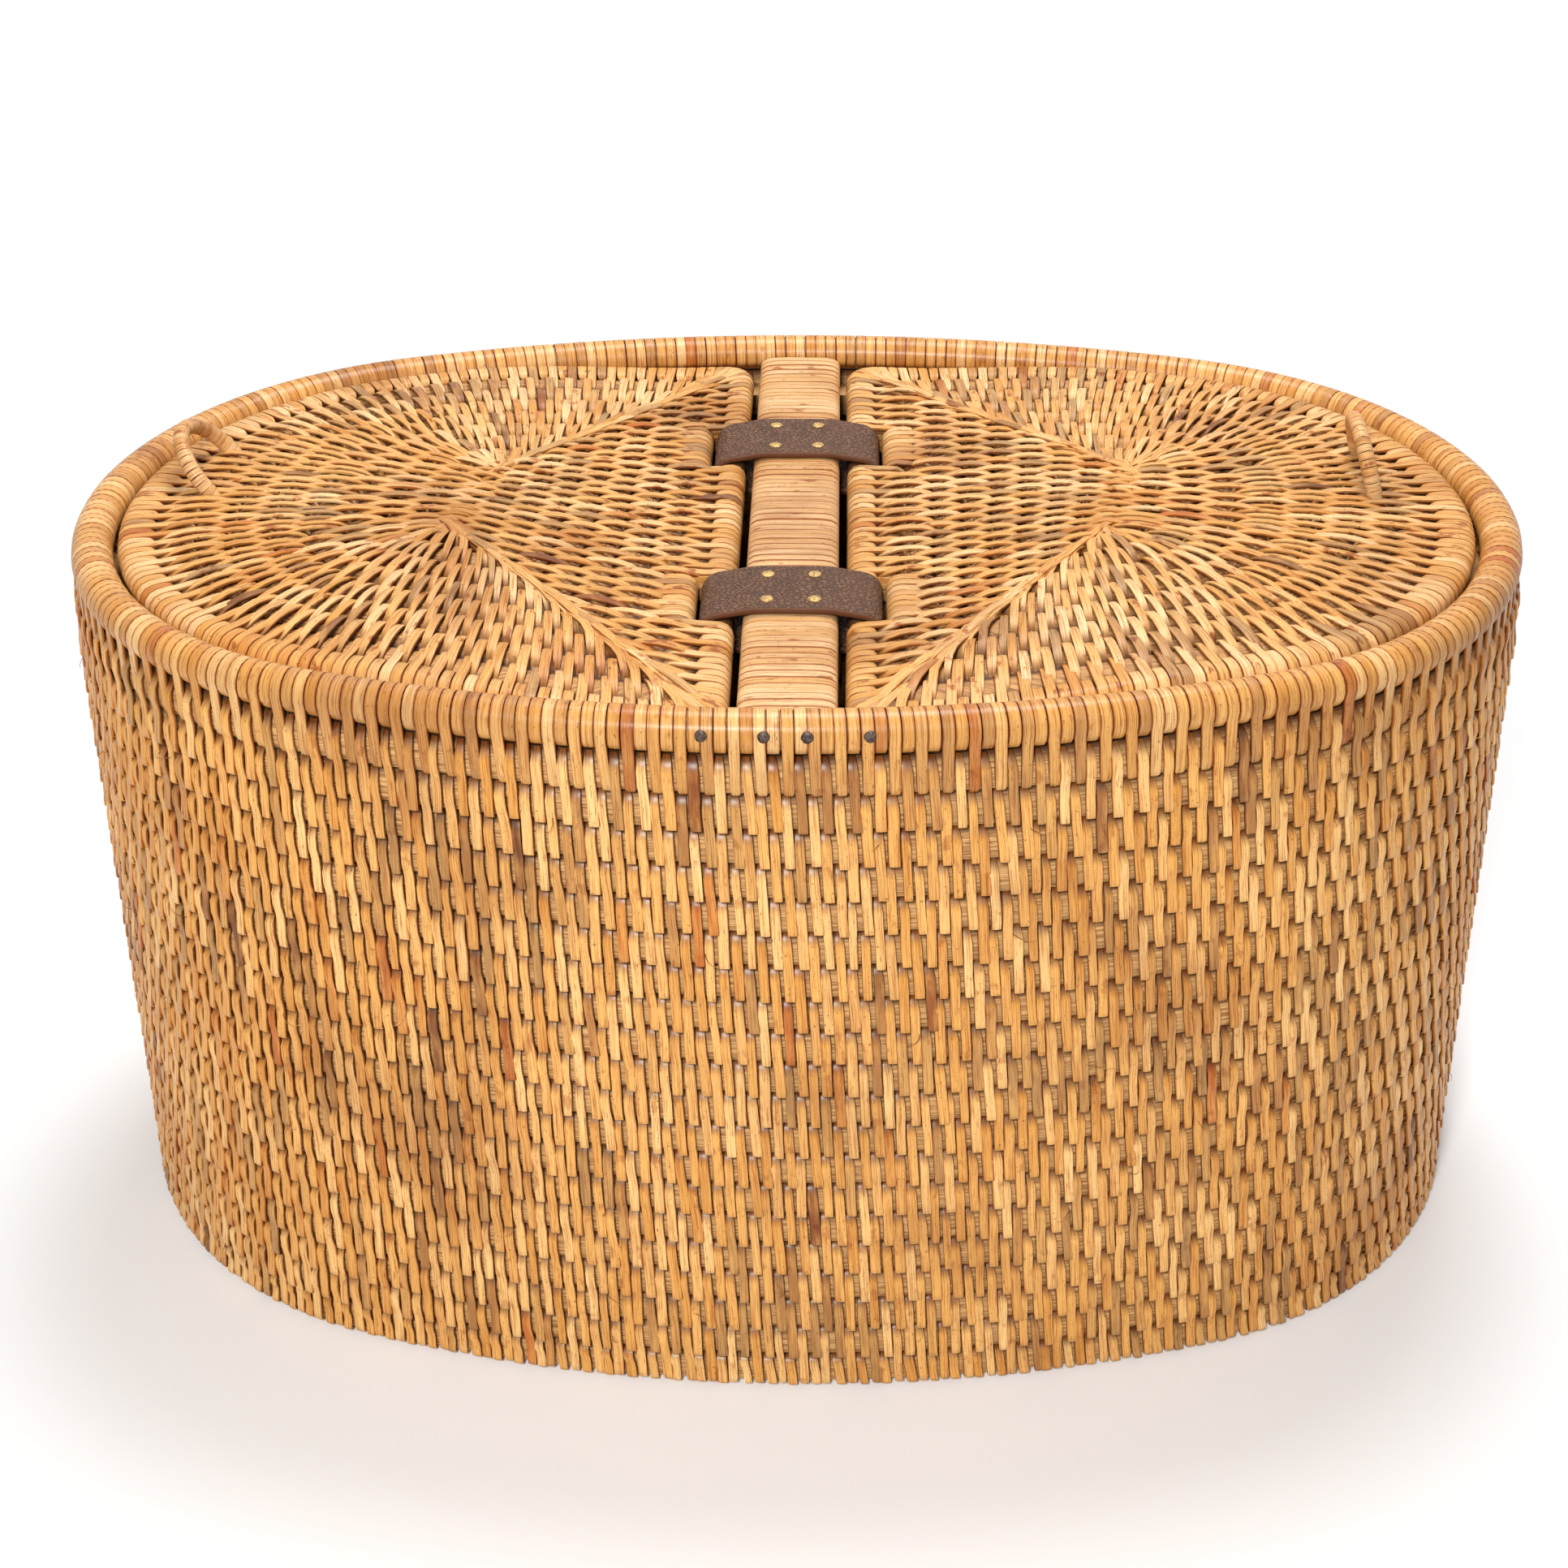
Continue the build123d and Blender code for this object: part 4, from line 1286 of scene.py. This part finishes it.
def handle_path(lean, turn):
    """Points along a handle's middle line, and the direction in which the loop stands up."""
    low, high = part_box("lid_right_handle")
    half = (high.y - low.y) / 2 - HANDLE_RADIUS
    straight = np.linspace(-HANDLE_TAIL, HANDLE_LEG, 6)[:-1]
    angle = np.linspace(math.pi, 0, 34)
    across = np.concatenate([np.full(5, -half), half * np.cos(angle), np.full(5, half)])
    rise = np.concatenate([straight, HANDLE_LEG + half * np.sin(angle), straight[::-1]])
    up = np.array([math.sin(lean) * turn, 0, math.cos(lean)])
    centre = np.array([HANDLE_X * turn, (high.y + low.y) / 2, LID_TOP])
    return centre + across[:, None] * np.array([0, 1, 0]) + rise[:, None] * up, up


def make_handle(side, lean, turn):
    line, up = handle_path(math.radians(lean), turn)
    length = travelled(line)[-1]
    centres = resampled(line, (np.arange(HANDLE_TURNS) + 0.5) / HANDLE_TURNS * length)
    tangent = unit(np.gradient(centres, axis=0))
    u = np.tile(unit(np.cross([0.0, 1.0, 0.0], up)), (HANDLE_TURNS, 1))
    v = unit(np.cross(tangent, u))
    radius = HANDLE_RADIUS - PEEL + 0.1 * MM
    dice.normal(0, 0.02, HANDLE_TURNS)   # passed over, which keeps the order of the draws
    width = np.full(HANDLE_TURNS, length / HANDLE_TURNS)
    piece = ring_wraps(f"handle_peel_{side}", small_ring, centres, u, v, radius, radius, width, lap=1.1)
    dress(raise_end(piece, 4 * MM), handle_peel, f"lid_{side}")
    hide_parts(f"lid_{side}_handle")


make_handle("right", -15, 1)
make_handle("left", 38, -1)


# ---- carried-over pieces

def wood_finish(name, low, high):
    """Plain cane for the hoop and the crossbar's core, with grain by place."""
    finish = Finish(name, IOR=1.4)
    strands = finish.fibres(finish.place(), (60, 60, 900))
    colour = finish.ramp(strands, [(0.3, low), (0.7, high)])
    rough = finish.step(strands, 0.2, 0.8, 0.5, 0.7)
    return finish.feed(Base_Color=colour, Roughness=rough, Normal=finish.bump(strands, 0.4, 0.0004))


hoop_finish = wood_finish("hoop_cane", linear(160, 112, 64), linear(216, 170, 112))
for node, slot in (("lid_ledge", "ledge"), ("crossbar_core", "bar_core")):
    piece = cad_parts[node]
    piece.data.materials.clear()
    piece.data.materials.append(hoop_finish)


# ---- stage, light, camera

def make_stage():
    """A white floor that shows the shadow near the basket and fades to plain white further off."""
    deselect()
    bpy.ops.mesh.primitive_plane_add(size=12, location=(0, 0, -0.0005))
    floor = named("floor")
    finish = Finish("floor_white", Roughness=0.9)
    finish.shader.inputs["Base Color"].default_value = (0.95, 0.95, 0.95, 1)
    distance = finish.node("ShaderNodeVectorMath", {"operation": "LENGTH"}, [finish.place()], output=1)
    glow = finish.white("ShaderNodeEmission")
    # Only what is seen directly glows; the basket gets a weaker bounce from the floor
    plain = Shade(finish, finish.shader.outputs[0])
    far = finish.step(distance, 0.25, 0.85)
    finish.choose(far * finish.seen_directly(), plain, glow, "Material Output")
    floor.data.materials.append(finish.material)


def area_light(name, place, target, size, power):
    deselect()
    bpy.ops.object.light_add(type="AREA", location=place)
    lamp = bpy.context.active_object
    lamp.name = name
    lamp.data.shape = "DISK"
    lamp.data.size = size
    lamp.data.energy = power
    aim = Vector(target) - Vector(place)
    lamp.rotation_euler = aim.to_track_quat("-Z", "Y").to_euler()


STUDIO_LEVEL = 0.205         # light from all round


def make_lights():
    area_light("overhead", (0.1, 0.5, 1.8), (0, 0, 0.2), 0.8, 26)
    area_light("front", (-0.25, -1.65, 1.5), (0, 0, 0.15), 0.45, 36.5)
    world = bpy.data.worlds.new("studio")
    bpy.context.scene.world = world
    sky = Tree(world)
    studio = sky.white("ShaderNodeBackground", STUDIO_LEVEL)
    backdrop = sky.white("ShaderNodeBackground")
    sky.choose(sky.seen_directly(), studio, backdrop, "World Output")


def make_camera():
    """The camera looks down at the front, a little from the right of the middle."""
    tilt, yaw, roll = 0.54308, -0.02445, -0.00788    # radians
    eye = Vector((20.124, -1039.748, 810.854)) * MM
    forward = Vector((math.sin(yaw) * math.cos(tilt), math.cos(yaw) * math.cos(tilt), -math.sin(tilt)))
    right = forward.cross(Vector((0, 0, 1))).normalized()
    up = right.cross(forward)
    right, up = (
        math.cos(roll) * right + math.sin(roll) * up,
        -math.sin(roll) * right + math.cos(roll) * up,
    )
    deselect()
    bpy.ops.object.camera_add(location=eye)
    camera = bpy.context.active_object
    turn = Matrix((right, up, -forward)).transposed().to_4x4()
    camera.matrix_world = Matrix.Translation(eye) @ turn
    camera.data.sensor_width = 36
    camera.data.lens = 61.644
    bpy.context.scene.camera = camera


make_stage()
make_lights()
make_camera()
bpy.context.scene.view_settings.view_transform = "Standard"
